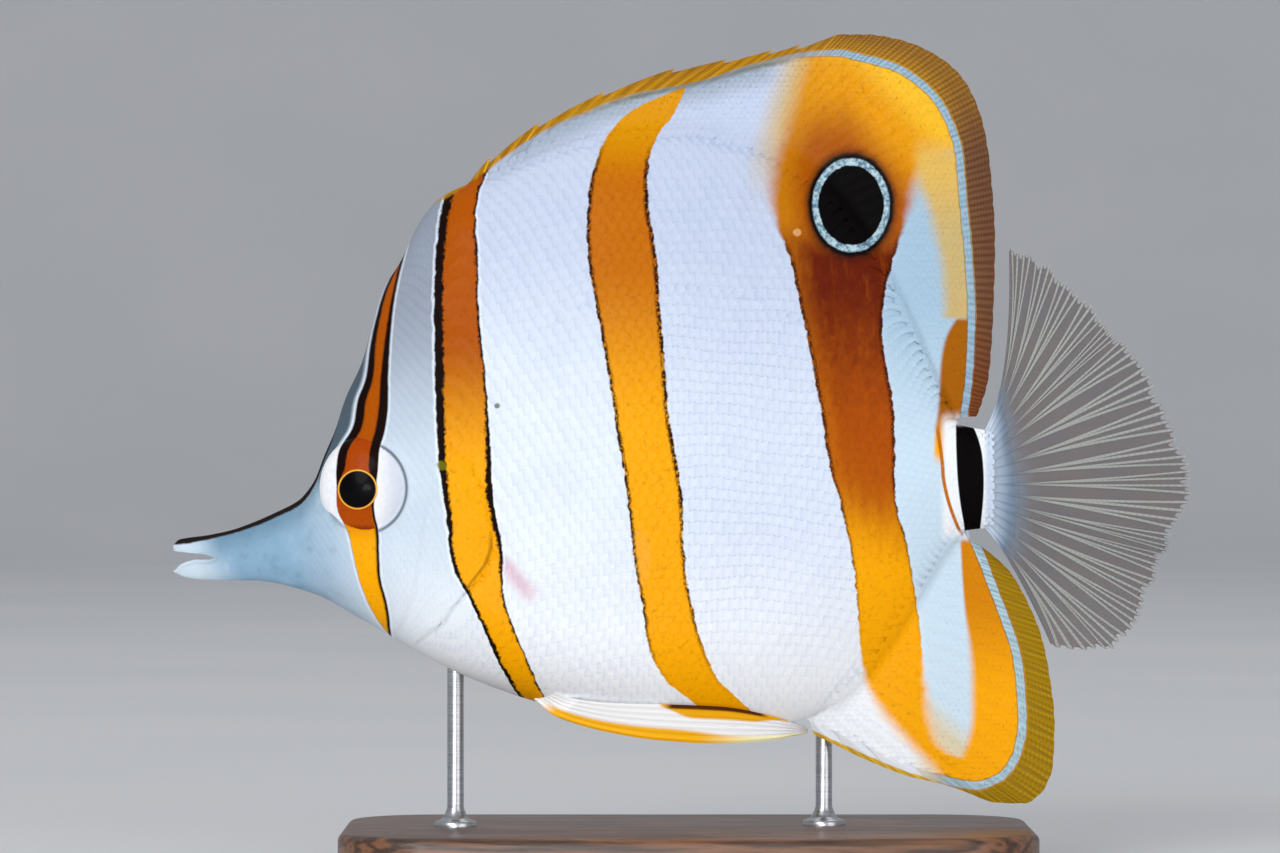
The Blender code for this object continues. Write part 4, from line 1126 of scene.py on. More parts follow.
@dataclass(frozen=True)
class FinFinish:
    """Fin membrane with rays, from solid and banded to clear."""

    name: str
    rays: float
    start: float = 0.5
    fork: float = 0.5
    width: float = 0.24
    banded: bool = True
    colour: Colour = srgb(224, 232, 244)
    ray_colour: Colour = srgb(250, 250, 252)
    cloud_colour: Colour = srgb(206, 204, 210)
    base_colour: Colour = srgb(222, 230, 246)
    root_colour: Colour = srgb(222, 230, 246)
    membrane_alpha: float = 1.0
    ray_alpha: float = 1.0
    solid_until: float = 0.0
    rim_alpha: float = 0.88

    def build(self, palette: Palette) -> Material:
        """Make the material."""
        material, graph, shader, position = start_material(
            self.name, 0.42, Coat_Weight=0.03, Coat_Roughness=0.25, Specular_IOR_Level=0.07
        )
        along = graph.read("along")
        rays = graph.group(
            palette.rays, across=graph.read("across"), along=along, count=self.rays, start=self.start,
            fork=self.fork, width=self.width,
        )
        ray, joint = Field(graph, rays.outputs["Ray"]), Field(graph, rays.outputs["Joint"])
        if self.banded:
            marks = graph.group(palette.markings, position=position)
            strength = Field(graph, marks.outputs["Colored"]).rest() * 0.2 + 0.1
            colour = graph.mix(ray.rest() * strength, marks.outputs["Color"], srgb(196, 206, 224), "MULTIPLY")
            stripe = (graph.math("FRACT", graph.read("across") * (self.rays * 3.0)) - 0.5).off() * 2.0
            rim = graph.group(
                palette.rim, color=colour, position=position, line=graph.read("blue_line"), stripe=stripe
            )
            colour = rim.outputs["Color"]
            alpha = (Field(graph, rim.outputs["Outside"]) * (self.rim_alpha - 1.0) + 1.0).high(ray)
        else:
            cloud = graph.noise(position, 160.0, 2.0).ease(-0.3, 0.3)
            colour = graph.mix(cloud * 0.5, self.colour, self.cloud_colour)
            clear_part = along.ease(self.solid_until, self.solid_until + 0.3)
            colour = graph.mix(ray * clear_part, colour, self.ray_colour)
            solid = (along + cloud * 0.06).ease(self.solid_until, self.solid_until + 0.24).rest()
            base = graph.mix(along.ease(0.1, 0.3), self.root_colour, self.base_colour)
            colour = graph.mix(solid, colour, base)
            alpha = (ray * (self.ray_alpha - self.membrane_alpha) + self.membrane_alpha).high(solid)
        colour = graph.mix(joint * 0.35, colour, srgb(150, 152, 168), "MULTIPLY")
        graph.give(shader, Base_Color=colour, Alpha=alpha)
        add_bump(graph, shader, ray * 0.8 + joint * -0.3, 0.12)
        return material


@dataclass(frozen=True)
class PelvicFinish:
    """White pelvic fin with a yellow leading edge and a brown-edged orange patch above."""

    name: str = "pelvic_fin_skin"

    def build(self, palette: Palette) -> Material:
        """Make the material."""
        material, graph, shader, position = start_material(
            self.name, 0.42, Coat_Weight=0.03, Coat_Roughness=0.25, Specular_IOR_Level=0.07
        )
        across, along = graph.read("across"), graph.read("along")
        rays = graph.group(palette.rays, across=across, along=0.0, count=6.0, start=0.5, fork=0.5, width=0.3)
        ray = Field(graph, rays.outputs["Ray"])
        colour = graph.mix(ray.rest() * 0.04, srgb(254, 254, 254), srgb(214, 220, 238))
        strip = (across + along.ease(0.5, 0.85) * 0.16).ease(0.28, 0.4).rest() * along.ease(0.02, 0.1)
        strip_colour = graph.mix(along.ease(0.6, 0.85), srgb(252, 182, 24), srgb(252, 244, 190))
        colour = graph.mix(strip, colour, strip_colour)
        lens = (along - 0.7).off().ease(0.1, 0.26)
        patch = (across - lens * 0.3).ease(0.6, 0.7) * lens.ease(0.9, 1.0).rest()
        colour = graph.mix(patch, colour, srgb(248, 176, 18))
        line = across.ease(0.86, 0.92) * along.ease(0.47, 0.51) * along.ease(0.84, 0.88).rest()
        colour = graph.mix(line, colour, srgb(84, 36, 8))
        graph.give(shader, Base_Color=colour)
        add_bump(graph, shader, ray, 0.03)
        return material


@dataclass(frozen=True)
class EyeFinish:
    """Wet eye: black pupil with a thin bright ring, and the eye band across a white iris."""

    colours: Markings
    name: str = "wet_eye"

    def build(self, palette: Palette) -> Material:
        """Make the material."""
        material, graph, shader, position = start_material(
            self.name, 0.35, Coat_Weight=0.04, Coat_Roughness=0.04, Specular_IOR_Level=0.04
        )
        marks = graph.group(palette.markings, position=position)
        x, z = graph.side_view(position)
        middle_x, middle_z, radius = self.colours.pupil
        off = graph.length(x - middle_x, z - middle_z) - radius
        fibres = graph.noise(position, 1400.0, 3.0)
        # Painted shade: the eye's white greys towards the rear rim of its socket.
        behind = x.ease(-47.0, -43.5)
        white = graph.mix(fibres.ease(-0.2, 0.3) * 0.3, srgb(250, 250, 252), srgb(206, 212, 226))
        white = graph.mix(behind * 0.6, white, srgb(196, 204, 222))
        coloured = Field(graph, marks.outputs["Colored"])
        colour = graph.mix(coloured, white, marks.outputs["Color"])
        lit = coloured * Field(graph, marks.outputs["Dark"]).rest()
        colour = graph.mix(lit * 0.9, colour, srgb(172, 66, 6))
        # Painted shade: the band's colour turns burnt brown along the eyeball's lower edge, where it sinks
        # into its socket.
        colour = graph.mix(lit * z.ease(50.6, 51.8).rest() * 0.8, colour, self.colours.burnt)
        colour = graph.mix(fibres.ease(0.0, 0.3) * lit * 0.4, colour, self.colours.burnt)
        colour = graph.mix(off.ease(0.0, 0.5).rest(), colour, srgb(96, 44, 14))
        colour = graph.mix((off - 0.16).near(0.0, 0.2), colour, srgb(255, 186, 66))
        colour = graph.mix(off.ease(-0.08, 0.04).rest(), colour, srgb(6, 6, 9))
        graph.give(shader, Base_Color=colour)
        return material


@dataclass(frozen=True)
class MouthFinish:
    """Moist, dark rose lining of the mouth."""

    name: str = "mouth_lining"

    def build(self) -> Material:
        """Make the material."""
        material, graph, shader, position = start_material(self.name, 0.3, Coat_Weight=0.5)
        cloud = graph.noise(position, 900.0)
        colour = graph.mix(cloud.ease(-0.2, 0.2), srgb(92, 62, 66), srgb(140, 104, 108))
        graph.give(shader, Base_Color=colour)
        return material


@dataclass(frozen=True)
class WoodFinish:
    """Dark oiled wood with long grain and pores."""

    name: str = "dark_wood"
    dark: Colour = srgb(66, 42, 28)
    light: Colour = srgb(128, 84, 54)

    def build(self) -> Material:
        """Make the material."""
        material, graph, shader, position = start_material(
            self.name, 0.42, Coat_Weight=0.3, Coat_Roughness=0.3
        )
        long_place = graph.stretched(position, (0.09, 1.0, 1.6))
        rings = graph.noise(long_place, 130.0, 3.0, 0.6)
        bands = graph.math("SINE", rings * 42.0) * 0.5 + 0.5
        pores = graph.noise(long_place, 1500.0, 2.0, 0.7)
        colour = graph.mix(bands, self.dark, self.light)
        colour = graph.mix(pores.ease(0.02, 0.2) * 0.55, colour, srgb(40, 24, 16))
        graph.give(shader, Base_Color=colour, Roughness=pores * 0.3 + 0.42)
        add_bump(graph, shader, bands * 0.3 + pores * -0.8, 0.12)
        return material


@dataclass(frozen=True)
class SteelFinish:
    """Satin steel with fine turning marks."""

    name: str = "satin_steel"

    def build(self) -> Material:
        """Make the material."""
        material, graph, shader, position = start_material(self.name, 0.3, Metallic=1.0)
        marks = graph.noise(graph.stretched(position, (0.15, 0.15, 3.0)), 1600.0, 2.0)
        colour = graph.mix(marks.ease(-0.3, 0.3), srgb(168, 170, 174), srgb(206, 207, 210))
        graph.give(shader, Base_Color=colour, Roughness=marks * 0.12 + 0.3)
        add_bump(graph, shader, marks, 0.006)
        return material


@dataclass(frozen=True)
class StageFinish:
    """Plain pale floor."""

    name: str = "pale_floor"

    def build(self) -> Material:
        """Make the material."""
        material, graph, shader, position = start_material(self.name, 0.7, Specular_IOR_Level=0.2)
        cloud = graph.noise(position, 6.0)
        colour = graph.mix(cloud.ease(-0.3, 0.3), srgb(226, 227, 229), srgb(232, 232, 233))
        graph.give(shader, Base_Color=colour)
        return material


@dataclass(frozen=True)
class Skin:
    """One closed skin from the lips to the tail base, with the mouth cut open."""

    form: BodyForm
    columns: int = 330
    rows: int = 108
    stations: Knots = ((0.0, -77.5), (0.46, -40.0), (0.6, -25.0), (1.0, 45.6))
    rim: float = 0.12
    reach: float = 12.0

    def unwrap(self, x: Array, z: Array) -> Array:
        """Shares along and across the skin's own sheet at points of its side view."""
        shares, spots = np.array(self.stations).T
        low, high = self.form.belly.at(x), self.form.back.at(x)
        height = np.clip((z - low) / (high - low), 0.0, 1.0)
        return joined(np.interp(x, spots, shares), np.arccos(1.0 - 2.0 * height) / math.pi)

    def place(self, along: Array, across: Array, side: Array) -> Array:
        """Points of the skin, evenly rounded from the belly line to the back line."""
        shares, spots = np.array(self.stations).T
        x = np.interp(along, shares, spots)
        low, high = self.form.belly.at(x) + self.rim, self.form.back.at(x) - self.rim
        z = low + (high - low) * (1.0 - np.cos(math.pi * across)) / 2
        return joined(x, self.form.sway(x) + side * self.form.surface(x, z), z)

    def mouth_cutter(self, lining: Material) -> bpy.types.Object:
        """Prism with the open mouth's outline."""
        form = bmesh.new()
        verts = [form.verts.new((x * MM, -self.reach * MM, z * MM)) for x, z in self.form.gape]
        face = form.faces.new(verts)
        lifted = bmesh.ops.extrude_face_region(form, geom=[face], use_keep_orig=True)
        moved = [item for item in lifted["geom"] if isinstance(item, bmesh.types.BMVert)]
        bmesh.ops.translate(form, verts=moved, vec=(0.0, 2 * self.reach * MM, 0.0))
        return finish_mesh("mouth_cutter", form, lining)

    def build(self, surface: Material, lining: Material) -> None:
        """Make the skin and open its mouth.

        Args:
            surface: Finish of the skin.
            lining: Finish inside the mouth.
        """
        whole = sheet("whole_skin", self.columns, self.rows, self.place, surface)
        cutter = self.mouth_cutter(lining)
        cut = whole.modifiers.new("mouth", "BOOLEAN")
        cut.operation, cut.solver, cut.object, cut.material_mode = "DIFFERENCE", "EXACT", cutter, "TRANSFER"
        bpy.context.view_layer.update()
        mesh = bpy.data.meshes.new_from_object(whole.evaluated_get(bpy.context.evaluated_depsgraph_get()))
        mesh.name = "skin"
        skin = bpy.data.objects.new("skin", mesh)
        bpy.context.scene.collection.objects.link(skin)
        for helper in (whole, cutter):
            bpy.data.objects.remove(helper)
        put(
            skin, Slot.SKIN, "head", "snout", "upper_jaw", "lower_jaw", "gill_cover_left", "gill_cover_right",
            "trunk", "tail_base",
        )


@dataclass(frozen=True)
class ScaleShape:
    """One scale: a thin plate whose root is sunk in the skin and whose rounded end stands a little clear."""

    length: float = 2.75
    height: float = 2.35
    sink: float = 0.1
    lift: float = 0.22
    thickness: float = 0.09
    root_share: float = 0.3
    cells: tuple[int, int] = (4, 3)
    patch: float = 0.003
    seed: int = 7

    def template(self) -> tuple[Array, list[list[int]]]:
        """Corners of a scale as shares from root to tip, across, and 1 on its upper face, and its faces."""
        form = bmesh.new()
        bmesh.ops.create_grid(form, x_segments=self.cells[0], y_segments=self.cells[1], size=0.5)
        upper = set(form.verts)
        bmesh.ops.extrude_face_region(form, geom=form.faces[:], use_keep_orig=True)
        form.verts.index_update()
        corners = np.array([(vert.co.x + 0.5, vert.co.y * 2.0, float(vert in upper)) for vert in form.verts])
        faces = [[vert.index for vert in face.verts] for face in form.faces]
        form.free()
        along, across = corners[:, 0].copy(), corners[:, 1].copy()
        corners[:, 0] = along * (1.0 - 0.34 * across**2)
        corners[:, 1] = across * (0.72 + 0.28 * np.sin(math.pi * np.minimum(along * 0.85 + 0.1, 1.0)))
        return corners, faces

    def rise(self, corners: Array, share: Array | float) -> Array:
        """How far each corner stands off the skin at full size, where tips have a share of their lift."""
        return share * self.lift * corners[:, 0] - self.sink - self.thickness * (1.0 - corners[:, 2])

    def join(
        self, name: str, points: Array, roots: Array, material: Material
    ) -> bpy.types.Object:
        """Join scales into one mesh.

        Args:
            name: Name of the piece.
            points: Places of the corners in millimetres, scale by scale.
            roots: Each root's place on the unwrapped skin, from 0 to 1.
            material: Finish of the scales.

        Returns:
            The joined scales, with their fields and their bake map.
        """
        corners, faces = self.template()
        count, size = points.shape[:2]
        starts = np.arange(count) * size
        all_faces = [[start + index for index in face] for start in starts.tolist() for face in faces]
        mesh = bpy.data.meshes.new(name)
        mesh.from_pydata((points.reshape(-1, 3) * MM).tolist(), [], all_faces)
        patch = (corners[:, :2] - (0.5, 0.0)) * (self.patch, self.patch / 2)
        spots = (roots[:, None, :] * (1.0 - 2 * self.patch) + self.patch + patch[None]).reshape(-1, 2)
        loops = np.empty(len(mesh.loops), np.int32)
        mesh.loops.foreach_get("vertex_index", loops)
        mesh.uv_layers.new(name="OFBake").data.foreach_set("uv", spots[loops].astype(np.float32).ravel())
        form = bmesh.new()
        form.from_mesh(mesh)
        bpy.data.meshes.remove(mesh)
        obj = finish_mesh(name, form, material)
        tones = np.random.default_rng(self.seed).random(count)
        add_field(obj, "scale_tip", np.tile(corners[:, 0], count))
        add_field(obj, "scale_edge", np.tile(np.abs(corners[:, 1]), count))
        add_field(obj, "scale_tone", np.repeat(tones, size))
        return obj


class FinMap:
    """Half thickness of the upright fins and the angle of their rays, by place in side view."""

    low: Pair = (-42.0, 4.0)
    high: Pair = (62.0, 130.0)
    step: float = 0.4

    def __init__(self, form: BodyForm, fins: Sequence["MedianFin | SpinyDorsal"]) -> None:
        """Sample the sheets of the fins onto a grid.

        Args:
            form: The fish's body.
            fins: The fins.
        """
        cells = [round((high - low) / self.step) + 1 for low, high in zip(self.low, self.high)]
        self.half, self.angle = np.zeros(cells), np.zeros(cells)
        shares = np.meshgrid(np.linspace(0.0, 1.0, 1000), np.linspace(0.0, 1.0, 160))
        across, along = (share.ravel() for share in shares)
        for fin in fins:
            x, y, z = fin.place(across, along, np.ones(len(across))).T
            root, tip = fin.ends(across)
            spots = [np.round((value - low) / self.step).astype(int) for value, low in zip((x, z), self.low)]
            np.maximum.at(self.half, tuple(spots), y - form.fin_sway(x))
            self.angle[tuple(spots)] = np.arctan2(*(tip - root).T[::-1])

    def at(self, x: Array, z: Array) -> tuple[Array, Array]:
        """Half thickness and ray angle at points of the side view, both 0 beside the fins."""
        spots = [
            np.clip((value - low) / self.step, 0.0, cells - 1.001)
            for value, low, cells in zip((x, z), self.low, self.half.shape)
        ]
        i, j = (np.floor(spot).astype(int) for spot in spots)
        u, v = spots[0] - i, spots[1] - j
        half = (self.half[i, j] * (1 - u) + self.half[i + 1, j] * u) * (1 - v)
        half += (self.half[i, j + 1] * (1 - u) + self.half[i + 1, j + 1] * u) * v
        return half, self.angle[np.round(spots[0]).astype(int), np.round(spots[1]).astype(int)]


@dataclass(frozen=True)
class ScaleCoat:
    """Overlapping scales in staggered rows over the head, the trunk and the bases of the fins."""

    skin: Skin
    fins: FinMap
    blue: dict[str, Array]
    shape: ScaleShape = ScaleShape()
    first_x: float = -57.0
    last_x: float = 46.0
    column_step: float = 0.9
    row_step: float = 3.45
    middle: Curve = Curve(((-58.0, 49.0), (-40.0, 56.0), (0.0, 64.0), (45.6, 58.3)))
    sizes: Curve = Curve((
        (-58.0, 0.42), (-50.0, 0.5), (-40.0, 0.6), (-33.0, 0.95), (24.0, 0.92), (33.0, 0.66), (46.0, 0.56),
    ))
    upper_lie: Curve = Curve((
        (-60.0, 45.0), (-48.0, 50.0), (-38.0, 36.0), (-28.0, 24.0), (-14.0, 16.0), (0.0, 15.0), (12.0, 20.0),
        (26.0, 8.0), (38.0, -20.0), (45.6, -4.0),
    ))
    lower_lie: Curve = Curve((
        (-60.0, -20.0), (-46.0, -28.0), (-30.0, -20.0), (-10.0, -9.0), (5.0, -2.0), (18.0, -14.0),
        (30.0, -22.0), (38.0, -10.0), (45.6, 2.0),
    ))
    edge_size: float = 0.58
    edge_reach: float = 11.0
    edge_lift: float = 0.45
    lift_reach: float = 3.2
    clear_of_eye: float = 1.0
    clear_of_gill: float = 0.9
    fin_pitch: Pair = (0.46, 1.62)
    fin_sizes: Pair = (0.58, 0.46)
    fin_clear: float = 0.85
    fin_overlap: float = 1.4
    jitter: float = 0.12
    turn_jitter: float = math.radians(5.0)
    wave: float = 0.3
    blend: float = 2.4
    seed: int = 5

    def slope(self, x: Array, z: Array, step_x: float, step_z: float) -> Array:
        """How steeply the body's half width changes in one direction of the side view."""
        form = self.skin.form
        rise = form.half_width(x + step_x, z + step_z) - form.half_width(x - step_x, z - step_z)
        return rise / (2.0 * math.hypot(step_x, step_z))

    def inwards(self, x: Array, z: Array) -> Array:
        """How far points lie inside the body's outline, measured straight up or down."""
        return np.minimum(self.skin.form.back.at(x) - z, z - self.skin.form.belly.at(x))

    def size(self, x: Array, z: Array) -> Array:
        """Size of the body's scales, which shrink towards the head, the tail and the fins."""
        grown = ease(self.inwards(x, z), 0.0, self.edge_reach)
        return self.sizes.at(x) * (self.edge_size + (1.0 - self.edge_size) * grown)

    def body_centres(self) -> Array:
        """Places (x, z) of the body's scales, marched up and down from the middle of each column."""
        form = self.skin.form
        columns = []
        x = self.first_x
        while x < self.last_x:
            columns.append(x)
            x += self.column_step * float(self.sizes.at(x))
        columns = np.array(columns)
        odd = np.arange(len(columns)) % 2 * 0.5
        low, high = form.belly.at(columns), form.back.at(columns)
        found = []
        for way, stagger in ((1.0, odd), (-1.0, 1.0 - odd)):
            z = self.middle.at(columns) + way * stagger * self.row_step * self.sizes.at(columns)
            while ((z > low) & (z < high)).any():
                inside = (z > low + 0.5) & (z < high - 0.3)
                found.append(joined(columns[inside], z[inside]))
                steep = self.slope(columns, np.clip(z, low + 0.3, high - 0.3), 0.0, 0.2)
                z = z + way * self.row_step * self.size(columns, z) / np.sqrt(1.0 + steep**2)
        x, z = np.concatenate(found).T
        wave = np.sin(0.24 * x + 0.12 * z) + 0.6 * np.sin(0.43 * x - 0.2 * z)
        z = z + self.wave * wave * self.sizes.at(x)
        behind = x - form.gill_edge.at(z)
        on_gill = (behind > -0.5) & (behind < self.clear_of_gill) & (z > 33.0) & (z < 63.0)
        keep = (form.off_orbit(x, z) > self.clear_of_eye) & ~on_gill
        return joined(x, z)[keep]

    def fin_centres(self, word: str) -> Array:
        """Places (x, z) of the small scales on the dorsal or the anal fin, up to its blue line."""
        form = self.skin.form
        x, z = np.meshgrid(
            np.arange(self.fins.low[0], self.fins.high[0], self.fin_pitch[0]),
            np.arange(self.fins.low[1], self.fins.high[1], self.fin_pitch[1]), indexing="ij",
        )
        z = z + (np.arange(len(x)) % 2 * 0.5 * self.fin_pitch[1])[:, None]
        draw = np.random.default_rng(self.seed)
        x, z = x.ravel(), (z + draw.uniform(-self.jitter, self.jitter, z.shape)).ravel()
        beyond = z - form.back.at(x) if word == "dorsal" else form.belly.at(x) - z
        keep = (beyond > -self.fin_overlap) & (self.fins.at(x, z)[0] > 0.07)
        places = joined(x[keep], z[keep])
        return places[signed_distance(places, self.blue[word]) < -self.fin_clear]

    def body_lie(self, x: Array, z: Array) -> Array:
        """Angle of the body's rows, which turn towards the fins' rays near its outline."""
        form = self.skin.form
        middle, low, high = self.middle.at(x), form.belly.at(x), form.back.at(x)
        up = np.clip((z - middle) / (high - middle), 0.0, 1.0) ** 1.3
        down = np.clip((middle - z) / (middle - low), 0.0, 1.0) ** 1.3
        along = np.degrees(np.arctan((self.middle.at(x + 1.0) - self.middle.at(x - 1.0)) / 2.0))
        turned = along * (1.0 - up - down) + self.upper_lie.at(x) * up + self.lower_lie.at(x) * down
        return np.radians(turned)

    def lay(self, x: Array, z: Array, side: Side) -> Array:
        """Points of the skin, or of a fin beside it, at places that may lie past the outline.

        Args:
            x: Places along the fish.
            z: Heights, which are kept on the body where no fin stands.
            side: The flank.

        Returns:
            The kept height, and how far out from the fish's middle plane the surface lies, as columns.
        """
        form = self.skin.form
        half = self.fins.at(x, z)[0]
        low, high = form.belly.at(x), form.back.at(x)
        on_fin = half > 0.05
        z = np.where(on_fin, z, np.clip(z, low + 0.15, high - 0.15))
        inside = (z > low) & (z < high) & (x < form.end + 0.7)
        beyond = np.maximum(np.maximum(low - z, z - high), x - form.end - 0.7)
        fin_sway = side.value * form.fin_sway(x)
        body = form.surface(x, z) - np.maximum(0.0, beyond) + side.value * form.sway(x)
        upper = z > (low + high) / 2
        edge = np.where(upper, form.back_edge.at(x), form.belly_edge.at(x)) - form.inset
        plane = np.where(inside, edge, half) + fin_sway
        weight = np.where(upper, ease(x, -38.0, -32.0), ease(x, 18.0, 23.0)) * (inside | on_fin)
        meet = np.maximum(0.0, 1.0 - np.abs(plane - body) / self.blend) * weight
        top = np.maximum(np.where(on_fin, half + fin_sway, body), body)
        return joined(z, top + meet**2 * self.blend / 4.0)

    def build_piece(
        self, word: str, side: Side, places: Array, size: Array, angle: Array,
        surface: Material,
    ) -> None:
        """Lay one scale at each place and join them.

        Args:
            word: First word of the piece's name.
            side: The flank.
            places: Middles (x, z) of the scales.
            size: Their sizes, 1 for the largest.
            angle: Their turn in side view.
            surface: Their finish.
        """
        form, corners = self.skin.form, self.shape.template()[0]
        x, z = places.T
        on_body = word not in self.blue
        wide, tall = (
            1.0 / np.sqrt(1.0 + (self.slope(x, z, *step) * on_body) ** 2)[:, None]
            for step in ((0.2, 0.0), (0.0, 0.2))
        )
        draw = np.random.default_rng(self.seed)
        size = (size * draw.uniform(1.0 - self.jitter / 2, 1.0 + self.jitter / 2, len(x)))[:, None]
        angle = (angle + draw.uniform(-self.turn_jitter, self.turn_jitter, len(x)))[:, None]
        ahead = (corners[None, :, 0] - self.shape.root_share) * self.shape.length * size
        across = corners[None, :, 1] * self.shape.height / 2 * size
        corner_x = x[:, None] + wide * (ahead * np.cos(angle) - across * np.sin(angle))
        corner_z = z[:, None] + tall * (ahead * np.sin(angle) + across * np.cos(angle))
        corner_x = np.clip(corner_x, form.tip, form.end + 0.6 if on_body else self.fins.high[0]).ravel()
        corner_z, top = self.lay(corner_x, corner_z.ravel(), side).T
        calm = self.edge_lift + (1.0 - self.edge_lift) * ease(self.inwards(x, z), 0.5, self.lift_reach)
        rise = self.shape.rise(corners, calm[:, None] if on_body else 1.0) * size
        y = side.value * (top + rise.ravel())
        points = joined(corner_x, y, corner_z).reshape(len(x), len(corners), 3)
        spans = np.array(self.fins.high) - self.fins.low
        roots = self.skin.unwrap(x, z) if on_body else (places - self.fins.low) / spans
        piece = self.shape.join(f"{word}_scales_{side.word}", points, roots, surface)
        if not on_body:
            add_field(piece, "blue_line", signed_distance(vertex_places(piece)[:, [0, 2]], self.blue[word]))
        put(piece, Slot.SKIN if on_body else Slot.BANDED_FIN)

    def build(self, side: Side, finishes: dict[str, Material]) -> None:
        """Make the scales of one side: the head's, the trunk's and those on the two fins.

        Args:
            side: The flank.
            finishes: Finish of each piece by its first word.
        """
        places = self.body_centres()
        on_head = places[:, 0] < self.skin.form.gill_edge.at(places[:, 1])
        for word, chosen in (("head", on_head), ("trunk", ~on_head)):
            x, z = places[chosen].T
            self.build_piece(word, side, places[chosen], self.size(x, z), self.body_lie(x, z), finishes[word])
        for word, blue in self.blue.items():
            places = self.fin_centres(word)
            near, far = self.fin_sizes
            size = far + (near - far) * ease(-signed_distance(places, blue), 1.0, 12.0)
            self.build_piece(word, side, places, size, self.fins.at(*places.T)[1], finishes[word])


@dataclass(frozen=True)
class Rays:
    """Soft rays of a fin, as low ridges that fork towards its margin."""

    count: int
    rise: float = 0.1
    width: float = 0.26
    fork: float = 0.5
    start: float = 0.5

    def ridge(self, across: Array, along: Array) -> Array:
        """Rise of the membrane at shares across and along the fin."""
        phase = (across * self.count + 0.5 - self.start) % 1.0 - 0.5
        split = np.maximum(0.0, (along - self.fork) / (1.0 - self.fork))
        branch = np.abs(np.abs(phase) - split * 0.25)
        off = np.abs(branch - split * split * 0.12) / (self.width * (1.0 - 0.45 * along))
        return self.rise * np.clip(1.0 - off**2, 0.0, 1.0) * np.minimum(1.0, 5.0 * along)


@dataclass(frozen=True)
class MedianFin:
    """Fin that stands on the back or belly line and thins from a scaled root to a clear rim."""

    name: str
    node: str
    form: BodyForm
    line: Curve
    root: Curve
    margin: Path
    rays: Rays
    blue: Array
    root_half: Curve
    rows: int = 44
    cells_per_ray: int = 8
    sink: float = 1.2
    rim_half: float = 0.09
    power: float = 1.5
    scallop: float = 0.12

    def ends(self, across: Array) -> tuple[Array, Array]:
        """Root and margin points (x, z) at shares across the fin."""
        return self.form.fin_root(self.line, self.root.at(across), self.sink), self.margin.at(across)

    def place(self, across: Array, along: Array, side: Array) -> Array:
        """Points of both faces of the fin."""
        root, tip = self.ends(across)
        between = np.abs((across * self.rays.count + 0.5 - self.rays.start) % 1.0 - 0.5) * 2.0
        reach = np.hypot(*(tip - root).T)
        point = root + (tip - root) * (along * (1.0 - self.scallop * between**2 / reach))[:, None]
        thick = self.root_half.at(self.root.at(across)) - self.form.inset
        half = self.rim_half + (thick - self.rim_half) * (1.0 - along) ** self.power
        half += self.rays.ridge(across, along)
        return joined(point[:, 0], self.form.fin_sway(point[:, 0]) + side * half, point[:, 1])

    def build(self, surface: Material) -> None:
        """Make the membrane with its rays."""
        fin = sheet(self.name, self.rays.count * self.cells_per_ray, self.rows, self.place, surface)
        add_field(fin, "blue_line", signed_distance(vertex_places(fin)[:, [0, 2]], self.blue))
        put(fin, Slot.BANDED_FIN, self.node)


@dataclass(frozen=True)
class SpinyDorsal:
    """Front part of the dorsal fin: a notched yellow membrane over nine laid-back spines."""

    form: BodyForm
    blue: Array
    count: int = 9
    cells_per_spine: int = 14
    rows: int = 22
    sink: float = 1.2
    rim_half: float = 0.1
    spine_radii: Pair = (0.32, 0.07)
    spine_start: float = 0.5
    roots: tuple[float, ...] = (-36.3, -34.8, -32.1, -28.5, -23.7, -18.3, -12.3, -6.0, 0.6, 7.3)
    tips: Knots = (
        (-36.2, 101.2), (-34.5, 102.1), (-29.8, 106.8), (-22.4, 112.0), (-12.7, 116.6), (-2.0, 120.2),
        (5.9, 121.6), (12.8, 123.0), (17.0, 123.8), (22.5, 125.3),
    )
    notch: Curve = Curve(((0.0, 0.1), (0.08, 1.35), (0.2, 1.3), (0.55, 0.75), (0.85, 0.35), (1.0, 0.1)))

    def ends(self, across: Array) -> tuple[Array, Array]:
        """Root and tip points (x, z) at shares across the fin."""
        shares = [index / self.count for index in range(self.count + 1)]
        root_x = Curve(tuple(zip(shares, self.roots))).at(across)
        tips = Path(tuple((share, *tip) for share, tip in zip(shares, self.tips))).at(across)
        return self.form.fin_root(self.form.back, root_x, self.sink), tips

    def place(self, across: Array, along: Array, side: Array) -> Array:
        """Points of both faces of the membrane."""
        root, tip = self.ends(across)
        way = tip - root
        reach = np.hypot(*way.T)
        dip = np.minimum(self.notch.at((across * self.count) % 1.0), reach / 3.0)
        point = root + way * (along * (1.0 - dip / reach))[:, None]
        thick = self.form.back_edge.at(root[:, 0]) - self.form.inset
        half = self.rim_half + (thick - self.rim_half) * (1.0 - along) ** 1.5
        return joined(point[:, 0], self.form.fin_sway(point[:, 0]) + side * half, point[:, 1])

    def build(self, membrane: Material, bone: Material) -> None:
        """Make the membrane and the spines.

        Args:
            membrane: Finish of the membrane.
            bone: Finish of the spines.
        """
        fin = sheet("dorsal_membrane", self.count * self.cells_per_spine, self.rows, self.place, membrane)
        add_field(fin, "blue_line", signed_distance(vertex_places(fin)[:, [0, 2]], self.blue))
        put(fin, Slot.BANDED_FIN, "dorsal_fin_spines")
        form = bmesh.new()
        roots, tips = self.ends(np.arange(1, self.count + 1) / self.count)
        for root, tip in zip(roots, tips):
            start = root + (tip - root) * self.spine_start
            ends = [Vector((x, float(self.form.fin_sway(np.array([x]))[0]), z)) for x, z in (start, tip)]
            tapered_rod(form, ends[0], ends[1], self.spine_radii)
        put(finish_mesh("dorsal_spines", form, bone), Slot.BANDED_FIN)


